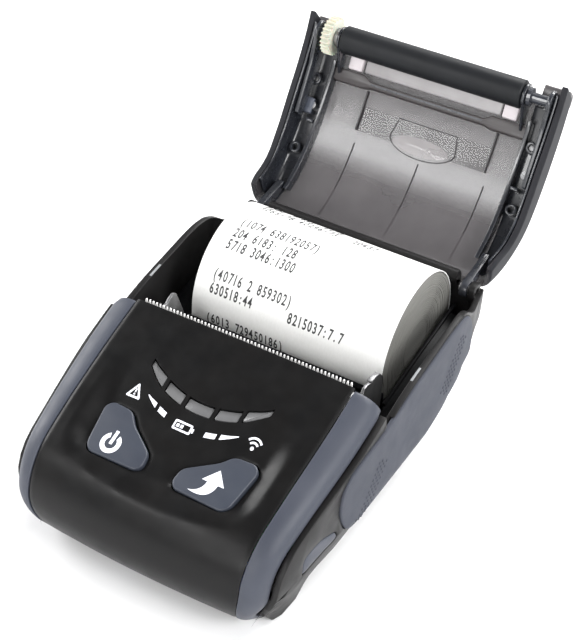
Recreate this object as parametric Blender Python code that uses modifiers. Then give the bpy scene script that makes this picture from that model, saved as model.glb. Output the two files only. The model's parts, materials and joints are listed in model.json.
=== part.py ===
"""Portable receipt printer with an open, smoke-tinted lid, modelled as an assembly.

Frame: metres, +Z up, +X to the printer's right, +Y to its back. The origin is the middle of the
flat underside. Sizes below are millimetres, and MM turns them into Blender's metres.
The lid is drawn closed and then swung open about its hinge by the empty that carries it.
"""

import math

import bmesh
import bpy
from mathutils import Matrix, Vector

MM = 0.001
GAP = 0.3

# Overall size and the side view of the case, as (y, z)
HALF_WIDTH = 40.3
UNDERSIDE_ROUNDING = 1.6
CASE_WALL = 1.8
REAR_Y = 58.6
PANEL_TOP = (-5.5, 45.0)
PANEL_FOOT = (-44.0, 30.95)
NOSE_RADIUS = 17.5
CHIN_RADIUS = 14.5
COVER_WALL = 2.0
TRIM_INNER_X = 31.5
TRIM_DROP = 4.8
TRIM_START = 0.6
TRIM_TAIL_X = 38.7
TRIM_NOSE_X = 37.2
DISH_DEPTH = 2.2
DISH_HALF_WIDTH = 28.0
GRIP_DEPTH = 0.8
GRIP_PROUD = 0.45
FLOOR_FRONT_Y = -43.4

# How far up, and by how much, the side walls lean in. The lean starts higher towards the back
LEAN = 0.15
LEAN_TOP = 16.0
LEAN_RISE = 0.35
LEAN_REAR_Y = 25.0
LEAN_CURVE = 1.15
TAPER_STATIONS = (-49.0, -41.0, -35.0, -29.0, -23.0, -16.0, 25.0, 33.0, 38.0, 43.0, 48.0, 53.0)
TAPER_HEIGHTS = (5.0, 10.5, 16.0, 24.0)
CASE_SCREWS = [(-30.5, -34.0), (30.5, -34.0), (-29.0, 20.0), (29.0, 20.0)]

# Battery door and its thumb tab, whose face follows the chin
DOOR_FRONT_Y = -43.1
DOOR_REAR_Y = -12.0
DOOR_HALF_WIDTH = 25.0
DOOR_TAB = (-7.0, -1.8)
DOOR_TAB_TOP = 5.0

# Side flap over the sockets, as (y, z), and the middle of its lower edge
PORT_OUTLINE = [(-38.6, 13.7), (-38.2, 18.9), (-31.8, 19.8), (-25.4, 17.8), (-24.8, 14.9)]
PORT_HINGE = (38.65, -31.7, 14.3)

# The rim on which the lid's side walls close, from front to back
RIM = [(-4.0, 34.6), (2.0, 36.8), (10.0, 38.8), (20.7, 40.6), (29.7, 42.1), (36.7, 42.3), (41.4, 40.6),
       (45.8, 37.4), (48.5, 36.3)]
REAR_TOP_Z = 36.3

# Paper roll and the bay that holds it
ROLL_CENTRE = (35.4, 29.6)
ROLL_RADIUS = 19.7
ROLL_HALF_WIDTH = 28.75
CORE_RADIUS = 6.5
TAIL_RADIUS = 20.2
TAIL_THICKNESS = 0.2
BAY_RADIUS = 21.0
BAY_HALF_WIDTH = 30.2
BAY_REAR_Y = 54.6
BAY_WALL = 1.0
BAY_SIDE_TOP = [(9.0, 23.2), (15.0, 24.4), (33.0, 28.0), (51.0, 30.8)]
LEDGE_THICKNESS = 1.2

# Lid, drawn closed
HINGE = (55.2, 37.0)
OPEN_ANGLE = 131.0
LID_WALL = 1.8
LID_HALF_WIDTH = 39.6
LID_TOP = [(-2.6, 46.4), (4.0, 48.7), (12.0, 50.7), (21.0, 52.1), (30.0, 52.6), (38.0, 51.8), (45.5, 49.3),
           (50.3, 46.5), (53.6, 43.4)]
LID_CORNER = 5.0
LID_FLAT_SHARE = 0.5
LID_CORNER_SHARE = 0.8
GUIDE = (30.0, 31.2)
KNUCKLE_RADIUS = 2.3
KNUCKLE = (31.7, 33.9)
HINGE_PIN_RADIUS = 1.1
HINGE_PIN_SPAN = (31.2, 35.6)
RECESS_HALF_WIDTH = 10.4

# Platen, at its closed place, and the gears (module in millimetres)
PLATEN = (0.5, 38.4)
PLATEN_RADIUS = 4.0
PLATEN_HALF_LENGTH = 27.8
SHAFT_RADIUS = 1.5
BUSH_RADIUS = 2.6
FRAME_PLATE = (29.3, 30.1)
LID_BRACKET = (35.2, 36.4)
MODULE = 0.4
PLATEN_TEETH = 26
OUTPUT_TEETH = 28
WHEEL_TEETH = 36
PINION_TEETH = 12
MOTOR_TEETH = 10
MESH_SLACK = 0.12
LID_MESH_CLEARANCE = 0.35
GEAR_PLANE = (-33.0, -30.4)
WHEEL_PLANE = (-34.9, -33.3)
OUTPUT_BEARING = -105.0
MOTOR = (-16.5, 26.2)
MOTOR_RADIUS = 5.5
AXLE_RADIUS = 0.8

# Keys, lights and small openings
KEY_TRAVEL = 0.6
KEY_OUTLINE = [(14.6, -31.9), (20.4, -31.6), (21.9, -33.3), (20.3, -43.3), (18.6, -44.9), (5.6, -44.6),
               (4.2, -43.1), (4.6, -39.6), (8.9, -36.8), (12.2, -34.7)]
LIGHT_ARC_RADIUS = 28.0
LIGHT_ARC_LOW_Y = -25.0
LIGHT_SPANS = [(-17.0, -11.6), (-10.3, -4.9), (-3.5, 3.5), (4.9, 10.3), (11.6, 17.0)]
LIGHT_HALF_HEIGHT = 1.3


# ---------------------------------------------------------------- scene and materials

def clear_scene():
    for obj in list(bpy.data.objects):
        bpy.data.objects.remove(obj, do_unlink=True)


def collection(name):
    made = bpy.data.collections.new(name)
    bpy.context.scene.collection.children.link(made)
    return made


def finish(name, colour, roughness, metallic=0.0, alpha=1.0):
    """A Principled material."""
    material = bpy.data.materials.new(name)
    material.use_nodes = True
    shader = material.node_tree.nodes["Principled BSDF"]
    shader.inputs["Base Color"].default_value = (*colour, 1.0)
    shader.inputs["Roughness"].default_value = roughness
    shader.inputs["Metallic"].default_value = metallic
    shader.inputs["Alpha"].default_value = alpha
    return material


clear_scene()
PARTS = collection("receipt_printer")
CUTTERS = collection("cutters")
BLACK = finish("black_plastic", (0.012, 0.012, 0.014), 0.38)
GREY = finish("slate_plastic", (0.13, 0.15, 0.19), 0.5)
RUBBER_GREY = finish("slate_rubber", (0.14, 0.16, 0.2), 0.7)
SMOKE = finish("smoke_plastic", (0.07, 0.065, 0.07), 0.15, alpha=0.6)
STEEL = finish("steel", (0.6, 0.6, 0.6), 0.3, 1.0)
RUBBER = finish("platen_rubber", (0.01, 0.01, 0.011), 0.6)
WHITE = finish("ivory_gear", (0.8, 0.8, 0.68), 0.5)
PAPER = finish("paper", (0.85, 0.85, 0.83), 0.9)
BOARD = finish("circuit_board", (0.02, 0.14, 0.05), 0.5)
WRAP = finish("battery_wrap", (0.03, 0.09, 0.25), 0.4)
LENS = finish("light_window", (0.2, 0.2, 0.21), 0.3)


# ---------------------------------------------------------------- building blocks

def add(name, mesh, material, place=PARTS):
    obj = bpy.data.objects.new(name, mesh)
    obj.data.materials.clear()
    obj.data.materials.append(material)
    place.objects.link(obj)
    return obj


def from_bmesh(name, bm, material, place=PARTS):
    mesh = bpy.data.meshes.new(name)
    bmesh.ops.recalc_face_normals(bm, faces=bm.faces)
    bm.to_mesh(mesh)
    bm.free()
    return add(name, mesh, material, place)


def box(name, low, high, material, place=PARTS, bevel=0.0):
    """A block between two corners, with its edges rounded by bevel."""
    bm = bmesh.new()
    size = [(h - l) * MM for l, h in zip(low, high)]
    centre = [(h + l) / 2 * MM for l, h in zip(low, high)]
    bmesh.ops.create_cube(bm, size=1, matrix=Matrix.Translation(centre) @ Matrix.Diagonal((*size, 1)))
    obj = from_bmesh(name, bm, material, place)
    if bevel:
        rounding = obj.modifiers.new("round", "BEVEL")
        rounding.width = bevel * MM
        rounding.segments = 2
    return obj


def rod(name, centre, radius, span, material, place=PARTS, sides=24, end_radius=None):
    """A cylinder or cone along X at (y, z), from span[0] to span[1]."""
    bm = bmesh.new()
    bmesh.ops.create_cone(bm, cap_ends=True, segments=sides, radius1=radius * MM,
                          radius2=(radius if end_radius is None else end_radius) * MM,
                          depth=(span[1] - span[0]) * MM)
    to_x = Matrix.Rotation(math.pi / 2, 4, "Y")
    middle = Vector(((span[0] + span[1]) / 2, *centre)) * MM
    bmesh.ops.transform(bm, matrix=Matrix.Translation(middle) @ to_x, verts=bm.verts)
    obj = from_bmesh(name, bm, material, place)
    shade(obj)
    return obj


def upright(name, x, y, radius, span, material, place=PARTS, sides=20):
    """A cylinder along Z."""
    bm = bmesh.new()
    bmesh.ops.create_cone(bm, cap_ends=True, segments=sides, radius1=radius * MM, radius2=radius * MM,
                          depth=(span[1] - span[0]) * MM)
    middle = Vector((x, y, (span[0] + span[1]) / 2)) * MM
    bmesh.ops.transform(bm, matrix=Matrix.Translation(middle), verts=bm.verts)
    obj = from_bmesh(name, bm, material, place)
    shade(obj)
    return obj


def plate(name, outlines, span, material, place=PARTS, plane="YZ"):
    """A flat outline, and holes in it, given thickness. YZ runs its thickness along X, XY along Z."""
    curve = bpy.data.curves.new(name, "CURVE")
    curve.dimensions = "2D"
    curve.fill_mode = "BOTH"
    curve.extrude = (span[1] - span[0]) / 2 * MM
    for outline in outlines:
        spline = curve.splines.new("POLY")
        spline.points.add(len(outline) - 1)
        spline.use_cyclic_u = True
        for point, (a, b) in zip(spline.points, outline):
            point.co = (a * MM, b * MM, 0, 1)
    drawn = add(name + "_outline", curve, material, place)
    mesh = bpy.data.meshes.new_from_object(drawn.evaluated_get(bpy.context.evaluated_depsgraph_get()))
    bpy.data.objects.remove(drawn)
    middle = (span[0] + span[1]) / 2 * MM
    turn = Matrix(((0, 0, 1, middle), (1, 0, 0, 0), (0, 1, 0, 0), (0, 0, 0, 1)))
    mesh.transform(turn if plane == "YZ" else Matrix.Translation((0, 0, middle)))
    bm = bmesh.new()
    bm.from_mesh(mesh)
    bmesh.ops.remove_doubles(bm, verts=bm.verts, dist=1e-6)
    return from_bmesh(name, bm, material, place)


def sheet(name, rows, columns, point, thickness, material, place=PARTS):
    """A grid bent into the surface point(u, v) for u and v from 0 to 1, then thickened inwards."""
    bm = bmesh.new()
    bmesh.ops.create_grid(bm, x_segments=rows, y_segments=columns, size=0.5)
    for vert in bm.verts:
        vert.co = Vector(point(vert.co.x + 0.5, vert.co.y + 0.5)) * MM
    mesh = bpy.data.meshes.new(name)
    bm.to_mesh(mesh)
    bm.free()
    obj = add(name, mesh, material, place)
    wall = obj.modifiers.new("wall", "SOLIDIFY")
    wall.thickness = thickness * MM
    wall.offset = -1
    return obj


def shade(obj, angle=35):
    obj.data.shade_smooth()
    obj.data.set_sharp_from_angle(angle=math.radians(angle))


def settle(obj):
    """Applies the modifiers, so that the mesh can be moved or joined."""
    mesh = bpy.data.meshes.new_from_object(obj.evaluated_get(bpy.context.evaluated_depsgraph_get()))
    obj.modifiers.clear()
    obj.data = mesh
    return obj


def combine(obj, other, operation):
    """Joins or cuts obj with another object, which is then removed."""
    change = obj.modifiers.new(operation.lower(), "BOOLEAN")
    change.operation = operation
    change.solver = "EXACT"
    change.object = other
    settle(obj)
    bpy.data.objects.remove(other)
    return obj


def cut(obj, *cutters):
    for cutter in cutters:
        combine(obj, cutter, "DIFFERENCE")
    return obj


def join(obj, *others):
    for other in others:
        combine(obj, other, "UNION")
    return obj


def pivot(name, at, parent=None):
    """An empty on a joint's axis, at (x, y, z)."""
    empty = bpy.data.objects.new(name, None)
    empty.empty_display_size = 0.004
    PARTS.objects.link(empty)
    empty.location = Vector(at) * MM
    empty["drawn_at"] = [c * MM for c in at]
    if parent:
        empty.parent = parent
        empty.location -= Vector(parent["drawn_at"])
    return empty


def hang(empty, *pieces):
    """Makes pieces drawn in the printer's frame ride on a joint's empty."""
    for piece in pieces:
        settle(piece)
        piece.data.transform(Matrix.Translation(-Vector(empty["drawn_at"])))
        piece.parent = empty


# ---------------------------------------------------------------- shapes that several parts share

def smooth(value):
    """0 below 0, 1 above 1, and a smooth step between."""
    t = min(1.0, max(0.0, value))
    return t * t * (3 - 2 * t)


def arc(centre, radius, start, end, steps):
    """Points on an arc, with its angles in degrees."""
    made = []
    for i in range(steps + 1):
        angle = math.radians(start + (end - start) * i / steps)
        made.append((centre[0] + radius * math.cos(angle), centre[1] + radius * math.sin(angle)))
    return made


def smooth_line(points, steps):
    """A Catmull-Rom curve through points, with steps spans between each two."""
    ends = [points[0], *points, points[-1]]
    made = []
    for a, b, c, d in zip(ends, ends[1:], ends[2:], ends[3:]):
        for i in range(steps):
            t = i / steps
            made.append(tuple(0.5 * (2 * q + (r - p) * t + (2 * p - 5 * q + 4 * r - s) * t ** 2
                                     + (3 * q - p - 3 * r + s) * t ** 3) for p, q, r, s in zip(a, b, c, d)))
    return [*made, points[-1]]


def height_on(line, y):
    """The height of a front-to-back line at y."""
    for (ya, za), (yb, zb) in zip(line, line[1:]):
        if ya <= y <= yb:
            return za + (zb - za) * (y - ya) / (yb - ya)
    return line[0][1] if y < line[0][0] else line[-1][1]


def plan_scale(y, z=99.0):
    """How much the case narrows towards its nose, its tail and the corners of its chin."""
    nose = min(1.0, max(0.0, (-14.0 - y) / 42.0))
    tail = min(1.0, max(0.0, (y - 30.0) / 28.0))
    chin = smooth((-38.0 - y) / 13.0) * smooth((17.0 - z) / 17.0)
    return 1 - 0.055 * nose ** 1.4 - 0.085 * tail ** 2 - 0.08 * chin


PANEL_ANGLE = math.atan2(PANEL_TOP[1] - PANEL_FOOT[1], PANEL_TOP[0] - PANEL_FOOT[0])
PANEL_LENGTH = math.dist(PANEL_TOP, PANEL_FOOT)
NOSE_CENTRE = (PANEL_FOOT[0] + NOSE_RADIUS * math.sin(PANEL_ANGLE),
               PANEL_FOOT[1] - NOSE_RADIUS * math.cos(PANEL_ANGLE))
CHIN_CENTRE = (NOSE_CENTRE[0] - NOSE_RADIUS + CHIN_RADIUS, NOSE_CENTRE[1])
NOSE_LENGTH = NOSE_RADIUS * (math.pi / 2 - PANEL_ANGLE)
CHIN_LENGTH = CHIN_RADIUS * math.pi / 2
SEAM_SHARE = 0.8
SEAM_LENGTH = PANEL_LENGTH + NOSE_LENGTH + SEAM_SHARE * CHIN_LENGTH
FRONT_LENGTH = PANEL_LENGTH + NOSE_LENGTH + CHIN_LENGTH


def front_line(length):
    """(y, z), outward normal and chin share at a length from the tear bar down the panel, nose and chin."""
    if length <= PANEL_LENGTH:
        share = length / PANEL_LENGTH
        point = [a + (b - a) * share for a, b in zip(PANEL_TOP, PANEL_FOOT)]
        return point, (-math.sin(PANEL_ANGLE), math.cos(PANEL_ANGLE)), 0.0
    if length <= PANEL_LENGTH + NOSE_LENGTH:
        angle = math.pi / 2 + PANEL_ANGLE + (length - PANEL_LENGTH) / NOSE_RADIUS
        normal = (math.cos(angle), math.sin(angle))
        return [c + NOSE_RADIUS * n for c, n in zip(NOSE_CENTRE, normal)], normal, 0.0
    turn = (length - PANEL_LENGTH - NOSE_LENGTH) / CHIN_RADIUS
    normal = (math.cos(math.pi + turn), math.sin(math.pi + turn))
    return [c + CHIN_RADIUS * n for c, n in zip(CHIN_CENTRE, normal)], normal, turn / (math.pi / 2)


def crown(x, length):
    """How far the cover falls away from its middle line at x."""
    nose = smooth((length - PANEL_LENGTH * 0.7) / NOSE_LENGTH)
    chin = front_line(length)[2]
    return (0.6 + 0.8 * nose) * (1 - smooth(chin)) * (x / TRIM_INNER_X) ** 2


def trim_edge(length):
    """Half width of the trim's outer edge."""
    return TRIM_TAIL_X + (TRIM_NOSE_X - TRIM_TAIL_X) * smooth(length / (PANEL_LENGTH + NOSE_LENGTH))


def trim_drop(length):
    """How far the trim's outer edge lies below the middle line."""
    return crown(TRIM_INNER_X, length) + TRIM_DROP * (1 - 0.8 * smooth(front_line(length)[2]))


def on_front(x, length, depth):
    """A point of the front, depth inside its middle line."""
    (y, z), (ny, nz), _ = front_line(length)
    return x, y - ny * depth, z - nz * depth


def dish(x, y):
    """Depth of the shallow dish around the keys, which fades out towards the lights."""
    side = smooth((DISH_HALF_WIDTH - abs(x)) / 6.5)
    lip = smooth((y + 51.0 - 3.5 * (x / 26.0) ** 2) / 8.0)
    top = smooth((-17.0 - y) / 17.0)
    return DISH_DEPTH * side * lip * top


def panel_depth(x, y):
    """Depth of the panel's surface below its middle line at plan position (x, y)."""
    return crown(x, min(PANEL_LENGTH, (PANEL_TOP[0] - y) / math.cos(PANEL_ANGLE))) + dish(x, y)


def panel_height(x, y):
    slope = math.tan(PANEL_ANGLE)
    return PANEL_TOP[1] + (y - PANEL_TOP[0]) * slope - panel_depth(x, y) / math.cos(PANEL_ANGLE)


def rounded(outline, radius, steps=3):
    """An outline with its corners rounded."""
    made = []
    count = len(outline)
    for i, corner in enumerate(outline):
        before, after = outline[i - 1], outline[(i + 1) % count]
        reach = min(radius, math.dist(corner, before) * 0.45, math.dist(corner, after) * 0.45)
        start = [c + (b - c) * reach / math.dist(corner, before) for c, b in zip(corner, before)]
        end = [c + (a - c) * reach / math.dist(corner, after) for c, a in zip(corner, after)]
        for k in range(steps + 1):
            t = k / steps
            made.append(tuple((1 - t) ** 2 * s + 2 * t * (1 - t) * c + t * t * e
                              for s, c, e in zip(start, corner, end)))
    return made


def grown(outline, distance):
    """An outline moved outwards by distance, which is negative to shrink it."""
    area = sum(a[0] * b[1] - b[0] * a[1] for a, b in zip(outline, [*outline[1:], outline[0]]))
    side = 1 if area > 0 else -1
    made = []
    for i, point in enumerate(outline):
        before, after = Vector(outline[i - 1]), Vector(outline[(i + 1) % len(outline)])
        along = (after - before).normalized()
        made.append((point[0] + side * along.y * distance, point[1] - side * along.x * distance))
    return made


def gear_outline(teeth, centre, phase=0.0, thin=0.12):
    """A gear with rounded trapezoid teeth. phase is in tooth pitches, and thin takes up the backlash."""
    pitch_radius = MODULE * teeth / 2
    levels = [(pitch_radius - 1.2 * MODULE, 0.36), (pitch_radius, 0.25 - thin / 6),
              (pitch_radius + 0.85 * MODULE, 0.11)]
    made = []
    for i in range(teeth):
        middle = (i + phase) / teeth
        steps = [(r, -w) for r, w in levels] + [(r, w) for r, w in reversed(levels)]
        for radius, offset in steps:
            angle = 2 * math.pi * (middle + offset / teeth)
            made.append((centre[0] + radius * math.cos(angle), centre[1] + radius * math.sin(angle)))
    return made


def circle(centre, radius, steps=20):
    return arc(centre, radius, 0, 360 - 360 / steps, steps - 1)


# ---------------------------------------------------------------- case

def rim_line():
    return smooth_line(RIM, 3)


def case_outline():
    """The side view of the lower case, under the trim, round the chin and back along the rim."""
    steps = 14
    front = []
    for i in range(steps + 1):
        length = 1.5 + (SEAM_LENGTH - 1.5) * i / steps
        front.append(on_front(0, length, trim_drop(length) + GAP)[1:])
    front.append((FLOOR_FRONT_Y, 0.0))
    rear = smooth_line([(32.0, 0.0), (43.0, 2.6), (51.5, 10.0), (56.4, 20.0), (REAR_Y, 30.0)], 3)
    return front + rear + [(REAR_Y, REAR_TOP_Z)] + list(reversed(rim_line()))


def case_cavity():
    """The space inside the side walls, open towards the cover, the bay and the lid."""
    return [(-80, 60), (-80, 2.2), (30.0, 2.2), (43.0, 4.6), (50.6, 10.8), (55.4, 20.2),
            (REAR_Y - 1.7, 30.0), (REAR_Y - 1.7, 60)]


def side_scale(y, z):
    """How much the side walls draw in: low down, and a little more than the cover does at the nose."""
    top = LEAN_TOP + LEAN_RISE * max(0.0, y - LEAN_REAR_Y)
    lean = LEAN * min(1.0, max(0.0, (top - z) / LEAN_TOP)) ** LEAN_CURVE
    tuck = 0.08 * smooth((-18.0 - y) / 26.0) * smooth((15.0 - z) / 15.0)
    nose = smooth((-26.0 - y) / 16.0)
    return plan_scale(y, z) * (1 - 0.028 * smooth((-12.0 - y) / 30.0) - lean * (1 - nose) - tuck * nose)


def taper(obj, scale=plan_scale):
    """Narrows a piece towards the nose and tail, as the case does, in flat strips."""
    bm = bmesh.new()
    bm.from_mesh(settle(obj).data)
    for y in TAPER_STATIONS:
        whole = bm.verts[:] + bm.edges[:] + bm.faces[:]
        bmesh.ops.bisect_plane(bm, geom=whole, dist=1e-6, plane_co=(0, y * MM, 0), plane_no=(0, 1, 0))
    for z in TAPER_HEIGHTS:
        whole = bm.verts[:] + bm.edges[:] + bm.faces[:]
        bmesh.ops.bisect_plane(bm, geom=whole, dist=1e-6, plane_co=(0, 0, z * MM), plane_no=(0, 0, 1))
    bmesh.ops.triangulate(bm, faces=[f for f in bm.faces if len(f.verts) > 4])
    for vert in bm.verts:
        vert.co.x *= scale(vert.co.y / MM, vert.co.z / MM)
    bm.to_mesh(obj.data)
    bm.free()
    return obj


def both_sides(make, name, low, high, *rest):
    """Two pieces that differ only in their side: make is called with the span's mirror image as well."""
    return [make(name + "_a", (low, high), *rest), make(name + "_b", (-high, -low), *rest)]


def hinge_ridge():
    """Outline of the ridge along the back, which covers the line where the lid turns."""
    inside = REAR_Y - 1.6
    return [(inside, 30.0), (REAR_Y, 30.0), (REAR_Y + 0.3, 38.6), (57.5, 40.6), (55.6, 40.9), (55.3, 38.4),
            (inside, 35.0)]


def make_bottom_case():
    """Tub with side walls, underside and rear wall. Its sides lean in at the bottom."""
    obj = plate("bottom_case", [case_outline()], (-HALF_WIDTH, HALF_WIDTH), BLACK)
    bm = bmesh.new()
    bm.from_mesh(obj.data)
    lowest = [e for e in bm.edges if abs(e.verts[0].co.x - e.verts[1].co.x) < 1e-6
              and max(v.co.z for v in e.verts) < 9.0 * MM and len(e.link_faces) == 2
              and abs(abs(e.link_faces[0].normal.x) - abs(e.link_faces[1].normal.x)) > 0.5]
    bmesh.ops.bevel(bm, geom=lowest, offset=UNDERSIDE_ROUNDING * MM, segments=2, profile=0.5,
                    affect="EDGES", clamp_overlap=True)
    bm.to_mesh(obj.data)
    bm.free()
    inside = HALF_WIDTH - CASE_WALL
    cut(obj, plate("cavity", [case_cavity()], (-inside, inside), BLACK, CUTTERS))
    taper(obj, side_scale)
    recess = GRIP_DEPTH + 0.2
    for side in (1, -1):
        span = sorted((side * (HALF_WIDTH - recess), side * (HALF_WIDTH + 3)))
        cut(obj, taper(plate("grip_recess", [grown(grip_outline(), 0.3)], span, BLACK, CUTTERS), side_scale))
        slot = sorted((side * (KNUCKLE[0] - 0.5), side * (KNUCKLE[1] + 0.5)))
        cut(obj, box("hinge_slot", (slot[0], 45.0, 33.6), (slot[1], 62.0, 50.0), BLACK, CUTTERS))
    port = plate("port_opening", [grown(port_outline(), GAP)], (30.0, 45.0), BLACK, CUTTERS)
    cut(obj, taper(port, side_scale))
    door_space = (DOOR_HALF_WIDTH, DOOR_REAR_Y, 5.0)
    cut(obj, box("door_opening", (-DOOR_HALF_WIDTH, -60.0, -1.0), door_space, BLACK, CUTTERS))
    for x, y in CASE_SCREWS:
        cut(obj, upright("screw_hole", x, y, 2.2, (-1.0, 5.0), BLACK, CUTTERS))
    join(obj, plate("ridge", [hinge_ridge()], (-29.8, 29.8), BLACK))
    ear = rounded([(52.9, 36.0), (52.9, 39.4), (57.4, 39.4), (57.6, 31.0), (56.0, 30.0)], 1.8)
    for side in (1, -1):
        span = sorted((side * (KNUCKLE[1] + 0.3), side * 36.2))
        support = plate("hinge_ear", [ear, circle(HINGE, HINGE_PIN_RADIUS + 0.1, 12)], span, BLACK)
        join(obj, support)
    return obj


def grip_outline():
    """The soft pad on each flank, from its front point over the rim and round the back."""
    top = [(y, z - 0.7) for y, z in RIM[1:7]]
    points = [(-15.0, 34.2), (-6.0, 34.4), *top, (45.6, 35.0), (48.0, 29.0), (48.0, 22.0), (44.6, 15.4),
              (37.0, 11.2), (24.0, 9.2), (0.0, 8.8), (-12.0, 9.6), (-19.8, 13.3), (-24.0, 19.7), (-24.9, 26.4),
              (-22.4, 31.8)]
    return rounded(points, 3.0, 1)


def make_grip(name, side):
    span = sorted((side * (HALF_WIDTH - GRIP_DEPTH + 0.1), side * (HALF_WIDTH + GRIP_PROUD)))
    obj = taper(plate(name, [grip_outline()], span, RUBBER_GREY), side_scale)
    rounding = obj.modifiers.new("round", "BEVEL")
    rounding.width = 0.35 * MM
    rounding.segments = 1
    rounding.limit_method = "ANGLE"
    return settle(obj)


def make_top_case():
    """The cover: panel, nose and chin in one curved sheet, with openings for the keys and lights."""
    def point(u, v):
        x = TRIM_INNER_X * (1 - 2 * u)
        length = SEAM_LENGTH * v
        depth = crown(x, length)
        if length < PANEL_LENGTH + NOSE_LENGTH:
            depth += dish(x, on_front(0, length, 0)[1])
        return on_front(x, length, depth)
    cover = taper(sheet("top_case", 20, 30, point, COVER_WALL, BLACK))
    for side in (1, -1):
        key = [(side * x, y) for x, y in KEY_OUTLINE]
        cut(cover, panel_plate("key_opening", grown(key, 0.35), (-9.0, 4.0), BLACK, CUTTERS))
    for span in LIGHT_SPANS:
        cut(cover, panel_plate("light_opening", light_outline(span, 0.2), (-9.0, 4.0), BLACK, CUTTERS))
    slot_top = (DOOR_TAB[1], -43.0, DOOR_TAB_TOP + GAP)
    return cut(cover, box("tab_slot", (DOOR_TAB[0], -60.0, -2.0), slot_top, BLACK, CUTTERS))


def panel_plate(name, outline, span, material, place=PARTS):
    """A plate that lies on the panel, with its heights measured from the panel's middle line."""
    local = [(x, (y - PANEL_TOP[0]) / math.cos(PANEL_ANGLE)) for x, y in outline]
    obj = plate(name, [local], span, material, place, "XY")
    turn = Matrix.Rotation(PANEL_ANGLE, 4, "X")
    obj.data.transform(Matrix.Translation(Vector((0, *PANEL_TOP)) * MM) @ turn)
    return obj


def light_outline(span, spare=0.0):
    """One window of the curved row of lights, as a plan outline."""
    low, high = span[0] - spare, span[1] + spare
    steps = max(2, round((high - low) / 4))
    xs = [low + (high - low) * i / steps for i in range(steps + 1)]
    reach = LIGHT_HALF_HEIGHT + spare
    upper = [(x, LIGHT_ARC_LOW_Y + arc_rise(x) + reach) for x in xs]
    return upper + [(x, LIGHT_ARC_LOW_Y + arc_rise(x) - reach) for x in reversed(xs)]


def arc_rise(x):
    """How far the row of lights has risen at x from its lowest point in the middle."""
    return LIGHT_ARC_RADIUS - math.sqrt(LIGHT_ARC_RADIUS ** 2 - x * x)


def make_trim(name, side):
    """The slate strip along one edge of the cover, which wraps round the nose to the chin."""
    def point(u, v):
        length = TRIM_START + (SEAM_LENGTH - TRIM_START) * v
        _, y, z = on_front(0, length, trim_drop(length))
        wall = (HALF_WIDTH - CASE_WALL - 0.4) * side_scale(y, z) / plan_scale(y, z)
        tucked = smooth((15.0 - z) / 6.0)
        edge = trim_edge(length) * (1 - tucked) + min(trim_edge(length), wall) * tucked
        across = 1 - u if side > 0 else u
        inner = TRIM_INNER_X + GAP
        x = inner + (edge - inner) * math.sin(across * math.pi / 2) ** 0.9
        fall = trim_drop(length) - crown(TRIM_INNER_X, length)
        x = inner + (x - inner) * (0.93 + 0.07 * smooth((length - TRIM_START) / 2.5))
        depth = crown(TRIM_INNER_X, length) + fall * (1 - math.cos(across * math.pi / 2))
        return on_front(side * x, length, depth)
    return taper(sheet(name, 5, 24, point, 1.7, GREY))


def port_outline():
    return rounded(PORT_OUTLINE, 1.3, 2)


def make_port_cover():
    return taper(plate("port_cover", [port_outline()], (HALF_WIDTH - 1.5, HALF_WIDTH - 0.1), GREY), side_scale)


def make_bay():
    """The tub that the paper roll drops into, with the ledges beside it."""
    outside = arc(ROLL_CENTRE, BAY_RADIUS + BAY_WALL, 187, 330, 14)
    outer = [*[(min(y, BAY_REAR_Y), z) for y, z in outside], (BAY_REAR_Y, 35.0), (22.0, 35.0)]
    obj = plate("paper_bay", [outer], (-BAY_HALF_WIDTH - BAY_WALL, BAY_HALF_WIDTH + BAY_WALL), BLACK)
    hollow = arc(ROLL_CENTRE, BAY_RADIUS, 187, 326, 14)
    inner = [(hollow[0][0], 60.0), *hollow, (70.0, hollow[-1][1]), (70.0, 60.0)]
    cut(obj, plate("bay_space", [inner], (-BAY_HALF_WIDTH, BAY_HALF_WIDTH), BLACK, CUTTERS))
    curb = [(y, z + 0.5) for y, z in [(0.0, BAY_SIDE_TOP[0][1]), *BAY_SIDE_TOP, (70.0, BAY_SIDE_TOP[-1][1])]]
    above = [*curb, (70.0, 60.0), (0.0, 60.0)]
    ledge = BAY_SIDE_TOP + [(y, z - LEDGE_THICKNESS) for y, z in reversed(BAY_SIDE_TOP)]
    for side in (1, -1):
        beside = sorted((side * BAY_HALF_WIDTH, side * (BAY_HALF_WIDTH + 2 * BAY_WALL)))
        cut(obj, plate("above_side", [above], beside, BLACK, CUTTERS))
        span = sorted((side * (BAY_HALF_WIDTH + 0.6), side * (HALF_WIDTH - CASE_WALL - 0.4)))
        shelf = plate("ledge", [ledge], span, BLACK)
        for vert in shelf.data.vertices:
            if abs(vert.co.x) > 33 * MM:
                vert.co.x *= plan_scale(vert.co.y / MM)
        join(obj, shelf)
    return obj


# ---------------------------------------------------------------- keys, lights and electronics

def make_key(name, side):
    """A key with its stem, drawn at rest."""
    outline = rounded([(side * x, y) for x, y in KEY_OUTLINE], 1.2, 1)
    obj = panel_plate(name, outline, (-4.2, -1.35), GREY)
    rounding = obj.modifiers.new("round", "BEVEL")
    rounding.width = 0.3 * MM
    rounding.segments = 1
    rounding.limit_method = "ANGLE"
    rounding.angle_limit = math.radians(60)
    return settle(obj)


def panel_square(x, y, half):
    return [(x - half, y - half), (x + half, y - half), (x + half, y + half), (x - half, y + half)]


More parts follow.
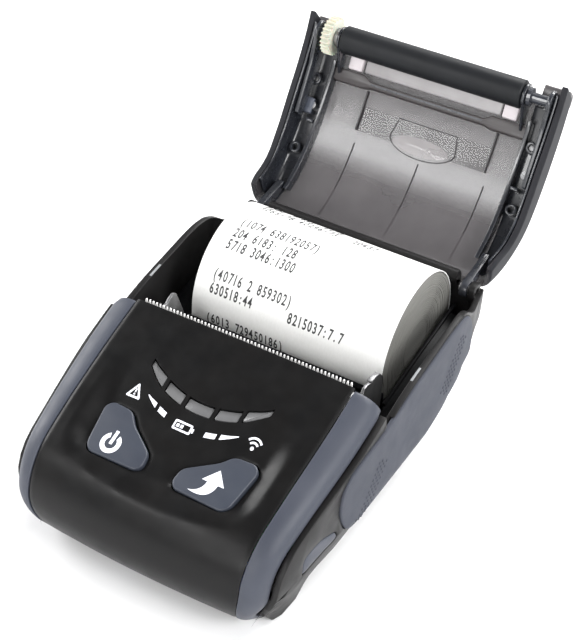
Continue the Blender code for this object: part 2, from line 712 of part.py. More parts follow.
def make_key_board():
    panel_plate("key_board", [(-24, -45), (24, -45), (24, -18.5), (-24, -18.5)], (-7.6, -6.6), BOARD)
    panel_plate("key_switch_left", panel_square(-13, -38.5, 2.6), (-6.3, -5.1), STEEL)
    panel_plate("key_switch_right", panel_square(13, -38.5, 2.6), (-6.3, -5.1), STEEL)
    middles = [(sum(span) / 2, LIGHT_ARC_LOW_Y + arc_rise(sum(span) / 2)) for span in LIGHT_SPANS]
    lamps = panel_plate("lamp_bar", light_outline((-17.0, 17.0)), (-6.3, -5.9), WHITE)
    guide = panel_plate("light_guide", light_outline((-17.4, 17.4)), (-4.9, -4.1), LENS)
    for span, (x, y) in zip(LIGHT_SPANS, middles):
        join(lamps, panel_plate("lamp", panel_square(x, y, 0.9), (-6.0, -5.2), WHITE))
        join(guide, panel_plate("window", light_outline(span), (-4.5, -0.3 - panel_depth(x, y)), LENS))


def make_main_board():
    board = box("main_board", (-29, -42, 17.8), (29, 8, 19.0), BOARD)
    join(board, box("side_board", (28.0, -38.0, 17.8), (35.8, -26.5, 19.0), BOARD))
    box("usb_socket", (31.4, -36.6, 15.2), (35.8, -32.6, 17.5), STEEL)
    box("power_socket", (31.4, -31.4, 14.6), (35.8, -27.8, 17.5), BLACK)


def make_battery():
    box("battery_pack", (-24.5, -43.0, 2.6), (24.5, -11.0, 16.8), WRAP, bevel=1.2)
    half = DOOR_HALF_WIDTH - GAP
    door = box("battery_door", (-half, DOOR_FRONT_Y, 0.0), (half, DOOR_REAR_Y - GAP, 1.9), BLACK)
    low = 180 + math.degrees(math.asin((CHIN_CENTRE[1] - 0.6) / CHIN_RADIUS))
    high = 180 + math.degrees(math.asin((CHIN_CENTRE[1] - DOOR_TAB_TOP) / CHIN_RADIUS))
    face = arc(CHIN_CENTRE, CHIN_RADIUS, low, high, 6)
    rear = DOOR_FRONT_Y - 0.2
    outline = [*face, (face[-1][0] + COVER_WALL, DOOR_TAB_TOP), (rear, 1.9), (rear, 0.6)]
    tab = plate("door_tab", [outline], (DOOR_TAB[0] + GAP, DOOR_TAB[1] - GAP), GREY)
    return door, tab


def make_case_screws():
    for i, (x, y) in enumerate(CASE_SCREWS):
        screw = upright("case_screw_%d" % (i + 1), x, y, 1.9, (0.5, 1.9), STEEL, sides=14)
        join(screw, upright("shank", x, y, 0.9, (1.5, 7.2), STEEL, sides=10))


# ---------------------------------------------------------------- printing mechanism

def gear_places():
    """Centres of the output gear and of the reduction wheel, from the platen and motor."""
    reach = MODULE * (PLATEN_TEETH + OUTPUT_TEETH) / 2 + 2 * 0.85 * MODULE + LID_MESH_CLEARANCE
    bearing = math.radians(OUTPUT_BEARING)
    output = Vector((PLATEN[0] + reach * math.cos(bearing), PLATEN[1] + reach * math.sin(bearing)))
    near = MODULE * (PINION_TEETH + OUTPUT_TEETH) / 2 + MESH_SLACK
    far = MODULE * (WHEEL_TEETH + MOTOR_TEETH) / 2 + MESH_SLACK
    between = Vector(MOTOR) - output
    along = (near ** 2 - far ** 2 + between.length ** 2) / (2 * between.length)
    across = math.sqrt(near ** 2 - along ** 2)
    unit = between.normalized()
    wheel = output + unit * along + Vector((unit.y, -unit.x)) * across * (1 if unit.x < 0 else -1)
    return output, wheel


def bearing_to(start, end):
    return math.atan2(end[1] - start[1], end[0] - start[0])


def tooth_towards(start, end, teeth):
    """The phase that puts a tooth of the gear at start towards end."""
    return bearing_to(start, end) * teeth / (2 * math.pi)


def gear(name, teeth, centre, phase, span, bore, material):
    return plate(name, [gear_outline(teeth, centre, phase), circle(centre, bore, 14)], span, material)


def make_gears():
    output, wheel = gear_places()
    bore = AXLE_RADIUS + 0.1
    phase = tooth_towards(output, wheel, OUTPUT_TEETH)
    drive = gear("output_gear", OUTPUT_TEETH, output, phase, GEAR_PLANE, bore, WHITE)
    phase = tooth_towards(wheel, MOTOR, WHEEL_TEETH)
    spindle = gear("reduction_gear", WHEEL_TEETH, wheel, phase, WHEEL_PLANE, bore, WHITE)
    phase = tooth_towards(wheel, output, PINION_TEETH) + 0.5
    pinion_span = (WHEEL_PLANE[1] - 0.2, GEAR_PLANE[1])
    join(spindle, gear("pinion", PINION_TEETH, wheel, phase, pinion_span, bore, WHITE))
    outline = gear_outline(MOTOR_TEETH, MOTOR, tooth_towards(MOTOR, wheel, MOTOR_TEETH) + 0.5)
    motor_gear = plate("motor_pinion", [outline], WHEEL_PLANE, STEEL)
    join(motor_gear, rod("motor_shaft", MOTOR, AXLE_RADIUS, (WHEEL_PLANE[0] + 0.3, -28.6), STEEL, sides=12))
    rod("output_axle", output, AXLE_RADIUS, (GEAR_PLANE[0] - 0.1, -28.9), STEEL, sides=12)
    rod("reduction_axle", wheel, AXLE_RADIUS, (WHEEL_PLANE[0] - 0.3, -28.9), STEEL, sides=12)
    hang(pivot("output_axis", (0, *output)), drive)
    hang(pivot("reduction_axis", (0, *wheel)), spindle)
    hang(pivot("motor_axis", (0, *MOTOR)), motor_gear)
    body = rod("stepper_motor", MOTOR, MOTOR_RADIUS, (-28.3, -14.0), STEEL)
    return body


def make_print_frame():
    """Two side plates with an open notch each for the platen's bush, joined by a cross plate."""
    notch = arc(PLATEN, BUSH_RADIUS + 0.35, -20, -180, 8)
    pointed_ear = [(13.0, 28.0), (11.2, 32.6), (8.8, 38.2), (7.4, 38.9), (5.6, 38.0)]
    round_ear = [(13.6, 31.0), (13.0, 34.2), (11.2, 36.2), (8.8, 36.9), (6.4, 36.9)]
    left, right = ([(-23.0, 20.6), (13.0, 20.6), *ear, (4.8, 37.4), *notch, (notch[-1][0], 40.4), (-7.0, 40.4),
                    (-23.0, 32.5)] for ear in (pointed_ear, round_ear))
    output, wheel = gear_places()
    holes = [circle(centre, AXLE_RADIUS + 0.25, 10) for centre in (output, wheel, MOTOR)]
    frame = plate("print_frame", [left, *holes], (-FRAME_PLATE[1], -FRAME_PLATE[0]), STEEL)
    cross = box("cross", (-FRAME_PLATE[1] + 0.2, -8.0, 20.6), (FRAME_PLATE[1] - 0.2, 10.0, 21.6), STEEL)
    rail = box("spring_rail", (-FRAME_PLATE[1] + 0.2, -14.0, 32.0), (FRAME_PLATE[1] - 0.2, -12.9, 35.4), STEEL)
    join(frame, plate("far", [right], FRAME_PLATE, STEEL), cross, rail)
    return frame


def make_head():
    box("thermal_head", (-28.0, -4.9, 31.0), (28.0, -3.8, 41.3), WHITE)
    box("heat_sink", (-27.0, -8.6, 24.0), (27.0, -5.2, 41.0), STEEL)
    coil("head_spring_left", (-18.0, -9.0, 34.0), 1.3, 0.3, 3.3, 4)
    coil("head_spring_right", (18.0, -9.0, 34.0), 1.3, 0.3, 3.3, 4)
    plate("paper_guide", [[(5.0, 31.4), (12.8, 25.4), (12.8, 26.8), (5.0, 33.0)]], (-28.9, 28.9), BLACK)
    box("paper_sensor", (-4.0, 6.4, 22.6), (4.0, 9.4, 26.8), BLACK)


def coil(name, start, radius, wire, length, turns):
    """A compression spring that runs forward from start."""
    curve = bpy.data.curves.new(name, "CURVE")
    curve.dimensions = "3D"
    curve.bevel_depth = wire * MM
    curve.bevel_resolution = 1
    curve.use_fill_caps = True
    per_turn = 8
    spline = curve.splines.new("POLY")
    spline.points.add(turns * per_turn)
    for i, point in enumerate(spline.points):
        angle = 2 * math.pi * i / per_turn
        place = (start[0] + radius * math.cos(angle), start[1] - length * i / (turns * per_turn),
                 start[2] + radius * math.sin(angle))
        point.co = (*[c * MM for c in place], 1)
    drawn = add(name + "_path", curve, STEEL)
    mesh = bpy.data.meshes.new_from_object(drawn.evaluated_get(bpy.context.evaluated_depsgraph_get()))
    bpy.data.objects.remove(drawn)
    bm = bmesh.new()
    bm.from_mesh(mesh)
    bmesh.ops.remove_doubles(bm, verts=bm.verts, dist=1e-6)
    return from_bmesh(name, bm, STEEL)


def make_tear_bar():
    """Serrated strip that leans over the paper slot."""
    pitch = 1.2
    count = round(2 * 30.3 / pitch)
    teeth = []
    for i in range(count):
        x = -30.3 + pitch * i
        teeth += [(x, 1.4), (x + pitch / 2, 2.2)]
    outline = [(-30.3, -0.5), (30.3, -0.5), (30.3, 1.4), *reversed(teeth)]
    strip = plate("tear_bar", [outline], (0.0, 0.5), STEEL, plane="XY")
    lean = Matrix.Rotation(math.radians(70), 4, "X")
    strip.data.transform(Matrix.Translation(Vector((0, PANEL_TOP[0] + 1.25, 42.2)) * MM) @ lean)
    return strip


# ---------------------------------------------------------------- lid, drawn closed

def lid_section(x_share, top, rim):
    """A point of the lid's outer surface: x_share runs from its left rim, over the top, to its right rim."""
    height = math.dist(top, rim)
    side = 1 if x_share > 0.5 else -1
    share = abs(x_share - 0.5) * 2
    corner = min(LID_CORNER, height * 0.9)
    if share < LID_FLAT_SHARE:
        x, h = (LID_HALF_WIDTH - corner) * share / LID_FLAT_SHARE, height
    elif share < LID_CORNER_SHARE:
        turn = (share - LID_FLAT_SHARE) / (LID_CORNER_SHARE - LID_FLAT_SHARE) * math.pi / 2
        x, h = LID_HALF_WIDTH - corner * (1 - math.sin(turn)), height - corner * (1 - math.cos(turn))
    else:
        x, h = LID_HALF_WIDTH, (height - corner) * (1 - share) / (1 - LID_CORNER_SHARE)
    y = rim[0] + (top[0] - rim[0]) * h / height
    z = rim[1] + (top[1] - rim[1]) * h / height
    return side * x * plan_scale(y), y, z


def along_line(line, share):
    """A point at a share of the way along a line of points."""
    steps = [math.dist(a, b) for a, b in zip(line, line[1:])]
    left = share * sum(steps)
    for (a, b), step in zip(zip(line, line[1:]), steps):
        if left <= step + 1e-9:
            return tuple(p + (q - p) * left / step for p, q in zip(a, b))
        left -= step
    return line[-1]


def make_lid_shell():
    top = smooth_line(LID_TOP, 3)
    rim = [(y, z + GAP) for y, z in rim_line()]

    def point(u, v):
        return lid_section(u, along_line(top, v), along_line(rim, v))
    return settle(sheet("lid_shell", 20, 18, point, LID_WALL, SMOKE))


def lid_under(y, drop):
    """Height of the lid's underside at y, drop below its outer surface."""
    return height_on(smooth_line(LID_TOP, 3), y) - drop


def make_lid_fittings():
    """Guide walls and crossbar, the finger recess, the lip by the platen, the brackets and the hinge arms."""
    stations = [6.0 + 4.0 * i for i in range(11)]
    upper = [(y, lid_under(y, 2.4)) for y in stations]
    lower = [(y, max(39.6 + 0.06 * (y - 6), lid_under(y, 8.5)) + (2.0 if y > 44 else 0)) for y in stations]
    guide = [*upper, *reversed(lower)]
    left, right = both_sides(lambda name, span: plate(name, [guide], span, BLACK), "lid_guide", *GUIDE)
    bar = box("bar", (-GUIDE[0] - 0.4, 8.6, 45.2), (GUIDE[0] + 0.4, 11.0, 47.6), BLACK)
    frame = join(left, right, bar)
    frame.name = "lid_frame"
    lip = [(1.8, lid_under(1.8, 2.4)), (6.8, lid_under(6.8, 2.4)), (6.8, 45.2), (5.2, 43.8)]
    lip_piece = plate("paper_lip", [lip], (-29.6, 29.6), LENS)
    recess = plate("finger_recess", [recess_outline()], (47.4, 49.0), SMOKE, plane="XY")
    pieces = [frame, lip_piece, recess]
    for name, side in (("lid_bracket_left", -1), ("lid_bracket_right", 1)):
        span = sorted((side * LID_BRACKET[0], side * LID_BRACKET[1]))
        head = arc(PLATEN, 3.3, 200, 330, 7)
        outline = [*head, (10.0, 39.6), (24.0, 42.6), (24.0, 46.0), (8.0, 45.4), (0.0, 44.4), (-2.6, 42.6)]
        pieces.append(plate(name, [outline, circle(PLATEN, SHAFT_RADIUS + 0.15, 14)], span, BLACK))
    for name, side in (("hinge_arm_left", -1), ("hinge_arm_right", 1)):
        span = sorted((side * KNUCKLE[0], side * KNUCKLE[1]))
        knuckle = arc(HINGE, KNUCKLE_RADIUS, -130, 60, 10)
        outline = [*knuckle, (51.6, 41.2), (48.8, 43.8), (44.0, 46.2), (44.0, 43.6), (48.6, 40.0)]
        pieces.append(plate(name, [outline, circle(HINGE, HINGE_PIN_RADIUS + 0.15, 14)], span, BLACK))
    return pieces


def recess_outline():
    """The D-shaped finger recess in plan."""
    arch = [(RECESS_HALF_WIDTH * math.cos(math.radians(a)), 20.5 + 4.6 * math.sin(math.radians(a)))
            for a in range(180, -1, -20)]
    return [(RECESS_HALF_WIDTH - 1.2, 15.3), (1.2 - RECESS_HALF_WIDTH, 15.3), *arch]


def make_lid_screws():
    spots = {"lid_screw_left": -33.8, "lid_screw_right": 33.8}
    y = 20.0
    return [upright(name, x, y, 1.2, (lid_under(y, 5.2), lid_under(y, 2.6)), STEEL, sides=12)
            for name, x in spots.items()]


def ring(name, centre, inner, outer, span, material, sides=24):
    return plate(name, [circle(centre, outer, sides), circle(centre, inner, sides)], span, material)


def make_platen():
    half = PLATEN_HALF_LENGTH
    shaft = rod("platen_shaft", PLATEN, SHAFT_RADIUS, (-LID_BRACKET[1], LID_BRACKET[1]), STEEL, sides=16)
    rubber = ring("platen_rubber", PLATEN, SHAFT_RADIUS + 0.1, PLATEN_RADIUS, (-half, half), RUBBER)
    shade(rubber)
    drive = gear("platen_gear", PLATEN_TEETH, PLATEN, 0.0, GEAR_PLANE, SHAFT_RADIUS + 0.1, WHITE)
    near = FRAME_PLATE[0] - 0.1
    far = FRAME_PLATE[1] + 0.1
    left = ring("platen_bush_left", PLATEN, SHAFT_RADIUS + 0.1, BUSH_RADIUS, (-far, -near), STEEL, 16)
    right = ring("platen_bush_right", PLATEN, SHAFT_RADIUS + 0.1, BUSH_RADIUS, (near, far), STEEL, 16)
    return shaft, rubber, drive, left, right


def make_hinge_pins():
    near, far = HINGE_PIN_SPAN
    rod("hinge_pin_left", HINGE, HINGE_PIN_RADIUS, (-far, -near), STEEL, sides=16)
    rod("hinge_pin_right", HINGE, HINGE_PIN_RADIUS, (near, far), STEEL, sides=16)


def make_paper():
    half = ROLL_HALF_WIDTH
    core = rod("paper_core", ROLL_CENTRE, CORE_RADIUS - GAP, (-half, half), PAPER, sides=28)
    roll = ring("paper_roll", ROLL_CENTRE, CORE_RADIUS, ROLL_RADIUS, (-half, half), PAPER, 56)
    wrap = arc(ROLL_CENTRE, TAIL_RADIUS, -20, 215, 40)
    inner = arc(ROLL_CENTRE, TAIL_RADIUS - TAIL_THICKNESS, 215, -20, 40)
    tail = plate("paper_tail", [wrap + inner], (-half, half), PAPER)
    for piece in (core, roll, tail):
        shade(piece)
    return core, roll, tail


def main():
    make_bottom_case()
    make_top_case()
    make_trim("trim_left", -1)
    make_trim("trim_right", 1)
    make_grip("grip_left", -1)
    make_grip("grip_right", 1)
    make_bay()
    port = make_port_cover()
    hang(pivot("port_cover_axis", PORT_HINGE), port)
    power, feed = make_key("power_button", -1), make_key("feed_button", 1)
    hang(pivot("power_axis", (-13, -38, 31)), power)
    hang(pivot("feed_axis", (13, -38, 31)), feed)
    make_key_board()
    make_main_board()
    hang(pivot("battery_door_axis", (0, DOOR_REAR_Y - GAP, 0)), *make_battery())
    make_case_screws()
    make_gears()
    make_print_frame()
    make_head()
    make_tear_bar()
    make_hinge_pins()
    lid = pivot("lid_axis", (0, *HINGE))
    hang(lid, make_lid_shell(), *make_lid_fittings(), *make_lid_screws())
    platen = pivot("platen_axis", (0, *PLATEN), lid)
    hang(platen, *make_platen())
    lid.rotation_euler.x = -math.radians(OPEN_ANGLE)
    hang(pivot("roll_axis", (0, *ROLL_CENTRE)), *make_paper())


main()
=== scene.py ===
"""Looks of the portable receipt printer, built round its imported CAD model.

Everything is in the model's frame: +X to the printer's right, +Y to its back, +Z up, and metres once
MM is applied. Sizes below are millimetres. Pieces of the lid are drawn closed and then swung open.
"""

import json
import math
import random

import bmesh
import bpy
from mathutils import Matrix, Vector
from mathutils.bvhtree import BVHTree

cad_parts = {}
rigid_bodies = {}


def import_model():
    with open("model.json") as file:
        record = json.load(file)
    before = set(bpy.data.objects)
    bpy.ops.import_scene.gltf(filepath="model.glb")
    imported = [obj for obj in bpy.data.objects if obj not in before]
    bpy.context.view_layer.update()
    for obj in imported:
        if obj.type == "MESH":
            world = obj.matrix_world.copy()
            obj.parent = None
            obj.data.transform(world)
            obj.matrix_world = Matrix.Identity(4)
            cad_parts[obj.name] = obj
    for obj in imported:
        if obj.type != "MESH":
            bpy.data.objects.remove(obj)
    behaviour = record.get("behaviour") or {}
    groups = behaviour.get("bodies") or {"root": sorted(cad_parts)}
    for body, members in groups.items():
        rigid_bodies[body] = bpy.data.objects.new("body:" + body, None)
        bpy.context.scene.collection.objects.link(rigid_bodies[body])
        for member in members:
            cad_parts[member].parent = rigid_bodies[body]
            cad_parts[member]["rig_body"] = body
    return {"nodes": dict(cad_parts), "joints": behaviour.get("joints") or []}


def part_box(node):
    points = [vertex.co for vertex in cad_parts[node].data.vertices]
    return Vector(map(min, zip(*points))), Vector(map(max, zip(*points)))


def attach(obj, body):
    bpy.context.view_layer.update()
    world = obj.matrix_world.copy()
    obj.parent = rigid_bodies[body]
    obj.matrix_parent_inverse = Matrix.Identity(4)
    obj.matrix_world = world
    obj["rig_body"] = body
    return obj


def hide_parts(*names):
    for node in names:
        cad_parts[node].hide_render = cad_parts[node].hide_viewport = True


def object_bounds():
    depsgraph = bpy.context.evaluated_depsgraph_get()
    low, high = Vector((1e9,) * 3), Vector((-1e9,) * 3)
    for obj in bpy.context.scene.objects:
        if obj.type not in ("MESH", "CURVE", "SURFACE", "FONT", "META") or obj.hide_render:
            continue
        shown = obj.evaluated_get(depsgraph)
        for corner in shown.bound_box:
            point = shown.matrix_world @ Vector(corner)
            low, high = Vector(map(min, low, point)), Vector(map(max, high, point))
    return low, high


MM = 0.001

# Cover: side view as a flat panel, a rounded nose and a chin
PANEL_TOP = (-5.5, 45.0)
PANEL_FOOT = (-44.0, 30.95)
NOSE_RADIUS = 17.5
CHIN_RADIUS = 14.5
SEAM_SHARE = 0.8
COVER_HALF_WIDTH = 31.5
COVER_WALL = 2.0
DISH_DEPTH = 2.2
DISH_HALF_WIDTH = 28.0
DISH_FADE = 6.5
EDGE_ROUNDING = 0.7
EDGE_FALL = 0.35

# How far up, and by how much, the side walls lean in
LEAN = 0.15
LEAN_TOP = 16.0
LEAN_RISE = 0.35
LEAN_REAR_Y = 25.0
LEAN_CURVE = 1.15

# Trim strips along the cover
TRIM_GAP = 0.3
TRIM_DROP = 4.8
TRIM_START = 0.6
TRIM_TAIL_X = 38.7
TRIM_NOSE_X = 37.2
TRIM_WALL = 1.7
TRIM_WALL_X = 38.1

# Keys and lights, in plan
KEY_OUTLINE = [(14.6, -31.9), (20.4, -31.6), (21.9, -33.3), (20.3, -43.3), (18.6, -44.9), (5.6, -44.6),
               (4.2, -43.1), (4.6, -39.6), (8.9, -36.8), (12.2, -34.7)]
KEY_SPAN = (-4.2, -1.3)
LIGHT_ARC_RADIUS = 28.0
LIGHT_ARC_LOW_Y = -25.0
LIGHT_SPANS = [(-17.0, -11.6), (-10.3, -4.9), (-3.5, 3.5), (4.9, 10.3), (11.6, 17.0)]
LIGHT_HALF_HEIGHT = 1.3
LIGHT_TIP_HALF_HEIGHT = 0.8
MARK_ARC_DROP = 4.7
MARK_LIFT = 0.02
MARK_THICKNESS = 0.03
MARK_SLICE = 0.7
POWER_SIGN_AT = (-14.6, -40.7)
FEED_SIGN_AT = (12.7, -39.9)
WARNING_SIGN_AT = (-17.2, -26.6)
SIGNAL_SIGN_AT = (16.9, -26.6)
BATTERY_SIGN_X = -1.3

# Lid, drawn closed
RIM = [(-4.0, 34.6), (2.0, 36.8), (10.0, 38.8), (20.7, 40.6), (29.7, 42.1), (36.7, 42.3), (41.4, 40.6),
       (45.8, 37.4), (48.5, 36.3)]
LID_TOP = [(-2.6, 46.4), (4.0, 48.7), (12.0, 50.7), (21.0, 52.1), (30.0, 52.6), (38.0, 51.8), (45.5, 49.3),
           (50.3, 46.5), (53.6, 43.4)]
LID_HALF_WIDTH = 39.6
LID_CORNER = 5.0
LID_WALL = 1.8
LID_FLAT_SHARE = 0.5
LID_CORNER_SHARE = 0.8
LID_SEAT = 0.3
LID_SLICE = 1.2
PLATEN = (0.5, 38.4)
# Smoke alpha by height on the open lid: the clearer middle is a painted highlight band, the denser low end
# towards the hinge is painted shade
SMOKE_ALPHA_WITH_PAINTED_BAND = [(0.0, 0.86), (0.22, 0.82), (0.36, 0.54), (0.45, 0.56), (0.6, 0.74), (1.0, 0.8)]
CHANNEL_SHARE = 0.43
CHANNEL_INSET = 2.1
CHANNEL_WALL = 0.6
RIB_XS = (-18.5, 2.2, 22.7)
POCKET_XS = (-19.2, 21.8)
GUIDE_X = (30.0, 31.2)
GUIDE_DEPTH = 6.0

# Paper
TAIL_OUTSIDE = 20.2
TAIL_THICKNESS = 0.2
TAIL_START = -20.0
TAIL_END = 215.0
ROLL_OUTSIDE = 19.7
ROLL_INSIDE = 6.5
ROLL_HALF_WIDTH = 28.75
WINDINGS = 30
WINDING_STEP = 0.1
TEXT_LEFT = -24.2
TEXT_PITCH = 1.5
TEXT_HEIGHT = 3.0
TEXT_SLICE = 0.9
TEXT_LIFT = 0.02
TEXT_LINES = [(60.0, "8204 71936: 4418"), (69.5, "3065178 40296173:  20437"), (97.5, "(1074 638192057)"),
              (109.5, "204 6183: 128"), (120.5, "5718 3046:1300"), (145.0, "(40716 2 859302)"),
              (156.5, "630518:44       8215037:7.7"), (182.0, "(6013 729450186)"), (193.5, "4710 5823: 9600")]

# Tear bar and gear
TOOTH_PITCH = 1.05
TEAR_BAR_FOOT = (-4.25, 42.2)
GEAR_TEETH = 26
GEAR_MODULE = 0.4

# CAD nodes that differ from the rest of their material slot
NODE_MATERIALS = {"platen_shaft": "channel_black", "platen_bush_left": "zinc",
                  "platen_bush_right": "channel_black"}

# Camera, which looks at a point of the printer from a bearing
CAMERA_AZIMUTH = 28.71
CAMERA_ELEVATION = 37.99
CAMERA_ROLL = 3.12
CAMERA_DISTANCE = 397.58
CAMERA_TARGET = (-6.05, 30.97, 25.0)
CAMERA_LENS = 82.06
SENSOR = 36.0

# The surround's strength at the horizon and overhead, and the heights of direction between them
HORIZON_STRENGTH = 0.8
HORIZON_TOP = 0.25
ZENITH_START = 0.75
ZENITH_STRENGTH = 0.12

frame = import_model()
CAD_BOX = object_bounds()
JOINTS = {joint["name"]: joint for joint in frame["joints"]}
HINGE_AT = Vector(JOINTS["lid_hinge"]["pos_m"])
OPEN_ANGLE = JOINTS["lid_hinge"]["range_deg"][1]
OPEN_LID = (Matrix.Translation(HINGE_AT) @ Matrix.Rotation(-math.radians(OPEN_ANGLE), 4, "X")
            @ Matrix.Translation(-HINGE_AT))
ROLL_AT = Vector(JOINTS["paper_spin"]["pos_m"]) / MM
PLATEN_AT = Vector(JOINTS["platen_spin"]["pos_m"]) / MM
MATERIALS = {}


# ---------------------------------------------------------------- materials

class Finish:
    """A Principled material, built up from its own nodes in the object's coordinates."""

    def __init__(self, name, roughness, **sockets):
        self.material = bpy.data.materials.new(name)
        self.material.use_nodes = True
        self.tree = self.material.node_tree
        self.shader = self.tree.nodes["Principled BSDF"]
        self.shader.inputs["Roughness"].default_value = roughness
        for socket, value in sockets.items():
            self.shader.inputs[socket.replace("_", " ")].default_value = value
        self.coords = self.node("ShaderNodeTexCoord").outputs["Object"]
        self.normal = None
        MATERIALS[name] = self.material

    def node(self, kind, **settings):
        made = self.tree.nodes.new(kind)
        for key, value in settings.items():
            setattr(made, key, value)
        return made

    def link(self, output, socket):
        self.tree.links.new(output, socket)

    def stretched(self, scale):
        """The object's coordinates, scaled by a different factor on each axis."""
        mapping = self.node("ShaderNodeMapping")
        mapping.inputs["Scale"].default_value = scale
        self.link(self.coords, mapping.inputs["Vector"])
        return mapping.outputs["Vector"]

    def noise(self, size, detail=3.0, vector=None):
        """Noise whose features are about size millimetres wide."""
        made = self.node("ShaderNodeTexNoise")
        made.inputs["Scale"].default_value = 1 / (size * MM)
        made.inputs["Detail"].default_value = detail
        self.link(self.coords if vector is None else vector, made.inputs["Vector"])
        return made.outputs["Fac"]

    def cells(self, size):
        made = self.node("ShaderNodeTexVoronoi")
        made.inputs["Scale"].default_value = 1 / (size * MM)
        self.link(self.coords, made.inputs["Vector"])
        return made.outputs["Distance"]

    def ranged(self, value, start, end, low, high):
        """Maps a value from start to end onto a range of numbers."""
        made = self.node("ShaderNodeMapRange")
        made.inputs["From Min"].default_value = start
        made.inputs["From Max"].default_value = end
        made.inputs["To Min"].default_value = low
        made.inputs["To Max"].default_value = high
        self.link(value, made.inputs["Value"])
        return made.outputs["Result"]

    def between(self, factor, low, high):
        """Maps a noise factor, which stays from 0.3 to 0.7, onto a range of numbers."""
        return self.ranged(factor, 0.3, 0.7, low, high)

    def blend(self, factor, first, second):
        """A colour between two, each a colour or an output."""
        made = self.node("ShaderNodeMix", data_type="RGBA")
        if isinstance(factor, float):
            made.inputs["Factor"].default_value = factor
        else:
            self.link(factor, made.inputs["Factor"])
        for socket, value in ((made.inputs[6], first), (made.inputs[7], second)):
            if isinstance(value, bpy.types.NodeSocket):
                self.link(value, socket)
            else:
                socket.default_value = (*value, 1.0)
        return made.outputs[2]

    def colour(self, first, second, size=9.0):
        """Colours the surface with soft patches of two colours."""
        mixed = self.blend(self.between(self.noise(size), 0.0, 1.0), first, second)
        self.link(mixed, self.shader.inputs["Base Color"])
        return mixed

    def worn(self, base, worn, amount=0.5):
        """Lightens the edges, where handling has polished them."""
        edges = self.node("ShaderNodeMapRange")
        edges.inputs["From Min"].default_value = 0.53
        edges.inputs["From Max"].default_value = 0.62
        edges.inputs["To Max"].default_value = amount
        self.link(self.node("ShaderNodeNewGeometry").outputs["Pointiness"], edges.inputs["Value"])
        self.link(self.blend(edges.outputs["Result"], base, worn), self.shader.inputs["Base Color"])

    def vary_roughness(self, low, high, size=5.0):
        self.link(self.between(self.noise(size, 4.0), low, high), self.shader.inputs["Roughness"])

    def bump(self, height, depth, strength=1.0):
        """Adds relief, depth millimetres deep."""
        made = self.node("ShaderNodeBump")
        made.inputs["Strength"].default_value = strength
        made.inputs["Distance"].default_value = depth * MM
        self.link(height, made.inputs["Height"])
        if self.normal:
            self.link(self.normal, made.inputs["Normal"])
        self.normal = made.outputs["Normal"]
        self.link(self.normal, self.shader.inputs["Normal"])


def moulded(name, dark, light, roughness, grain=0.16, depth=0.012, worn=None, **sockets):
    """Spark-eroded moulded plastic: fine pits, soft wiped patches and polished edges."""
    finish = Finish(name, roughness, **sockets)
    base = finish.colour(dark, light)
    if worn:
        finish.worn(base, worn)
    finish.vary_roughness(roughness - 0.05, roughness + 0.07)
    finish.bump(finish.noise(grain, 2.0), depth, 0.6)
    finish.bump(finish.cells(grain * 2.2), depth * 0.7, 0.35)
    return finish


def metal(name, dark, light, roughness, along=(1.0, 14.0, 14.0)):
    """Rolled or turned metal with fine lines."""
    finish = Finish(name, roughness, Metallic=1.0)
    finish.colour(dark, light, 3.0)
    lines = finish.noise(1.0, 4.0, finish.stretched(along))
    finish.link(finish.between(lines, roughness - 0.08, roughness + 0.12), finish.shader.inputs["Roughness"])
    finish.bump(lines, 0.006, 0.5)
    return finish


def make_smoke(name, dark, light, alpha, roughness):
    """Smoke-tinted clear plastic, with faint flow marks and dust."""
    finish = Finish(name, roughness, Alpha=alpha, Specular_IOR_Level=0.5, Coat_Weight=0.25, Coat_Roughness=0.08)
    finish.colour(dark, light, 14.0)
    finish.vary_roughness(roughness - 0.04, roughness + 0.08, 7.0)
    finish.bump(finish.noise(6.0, 1.0), 0.05, 0.4)
    return finish


def make_lid_smoke():
    """The lid's smoke plastic, black along its sides. How see-through it is carries painted light: clearest
    across its middle as a painted highlight band, less clear towards the hinge as painted shade.
    """
    finish = Finish("smoke", 0.16, Specular_IOR_Level=0.2)
    parts = finish.node("ShaderNodeSeparateXYZ")
    finish.link(finish.coords, parts.inputs["Vector"])
    height = finish.ranged(parts.outputs["Z"], 0.035, 0.07, 0.0, 1.0)
    # The ramp paints light into the smoke: lower alpha across the middle gives a painted highlight band, higher
    # alpha towards the hinge gives painted shade
    ramp = finish.node("ShaderNodeValToRGB")
    stops = ramp.color_ramp.elements
    while len(stops) < len(SMOKE_ALPHA_WITH_PAINTED_BAND):
        stops.new(0.5)
    for stop, (place_at, alpha_with_painted_band) in zip(stops, SMOKE_ALPHA_WITH_PAINTED_BAND):
        stop.position = place_at
        stop.color = (alpha_with_painted_band, alpha_with_painted_band, alpha_with_painted_band, 1.0)
    finish.link(height, ramp.inputs["Fac"])
    sideways = finish.node("ShaderNodeMath", operation="ABSOLUTE")
    finish.link(parts.outputs["X"], sideways.inputs[0])
    side = finish.ranged(sideways.outputs["Value"], 0.0345, 0.0375, 0.0, 1.0)
    alpha_with_painted_band = finish.node("ShaderNodeMath", operation="MAXIMUM")
    finish.link(ramp.outputs["Color"], alpha_with_painted_band.inputs[0])
    finish.link(side, alpha_with_painted_band.inputs[1])
    finish.link(alpha_with_painted_band.outputs["Value"], finish.shader.inputs["Alpha"])
    patches = finish.colour((0.075, 0.069, 0.073), (0.1, 0.092, 0.096), 14.0)
    finish.link(finish.blend(side, patches, (0.016, 0.0165, 0.02)), finish.shader.inputs["Base Color"])
    dulled = finish.node("ShaderNodeMath", operation="MAXIMUM")
    finish.link(finish.between(finish.noise(7.0), 0.12, 0.24), dulled.inputs[0])
    finish.link(finish.ranged(sideways.outputs["Value"], 0.0345, 0.0375, 0.0, 0.6), dulled.inputs[1])
    finish.link(dulled.outputs["Value"], finish.shader.inputs["Roughness"])
    finish.bump(finish.noise(6.0, 1.0), 0.05, 0.4)


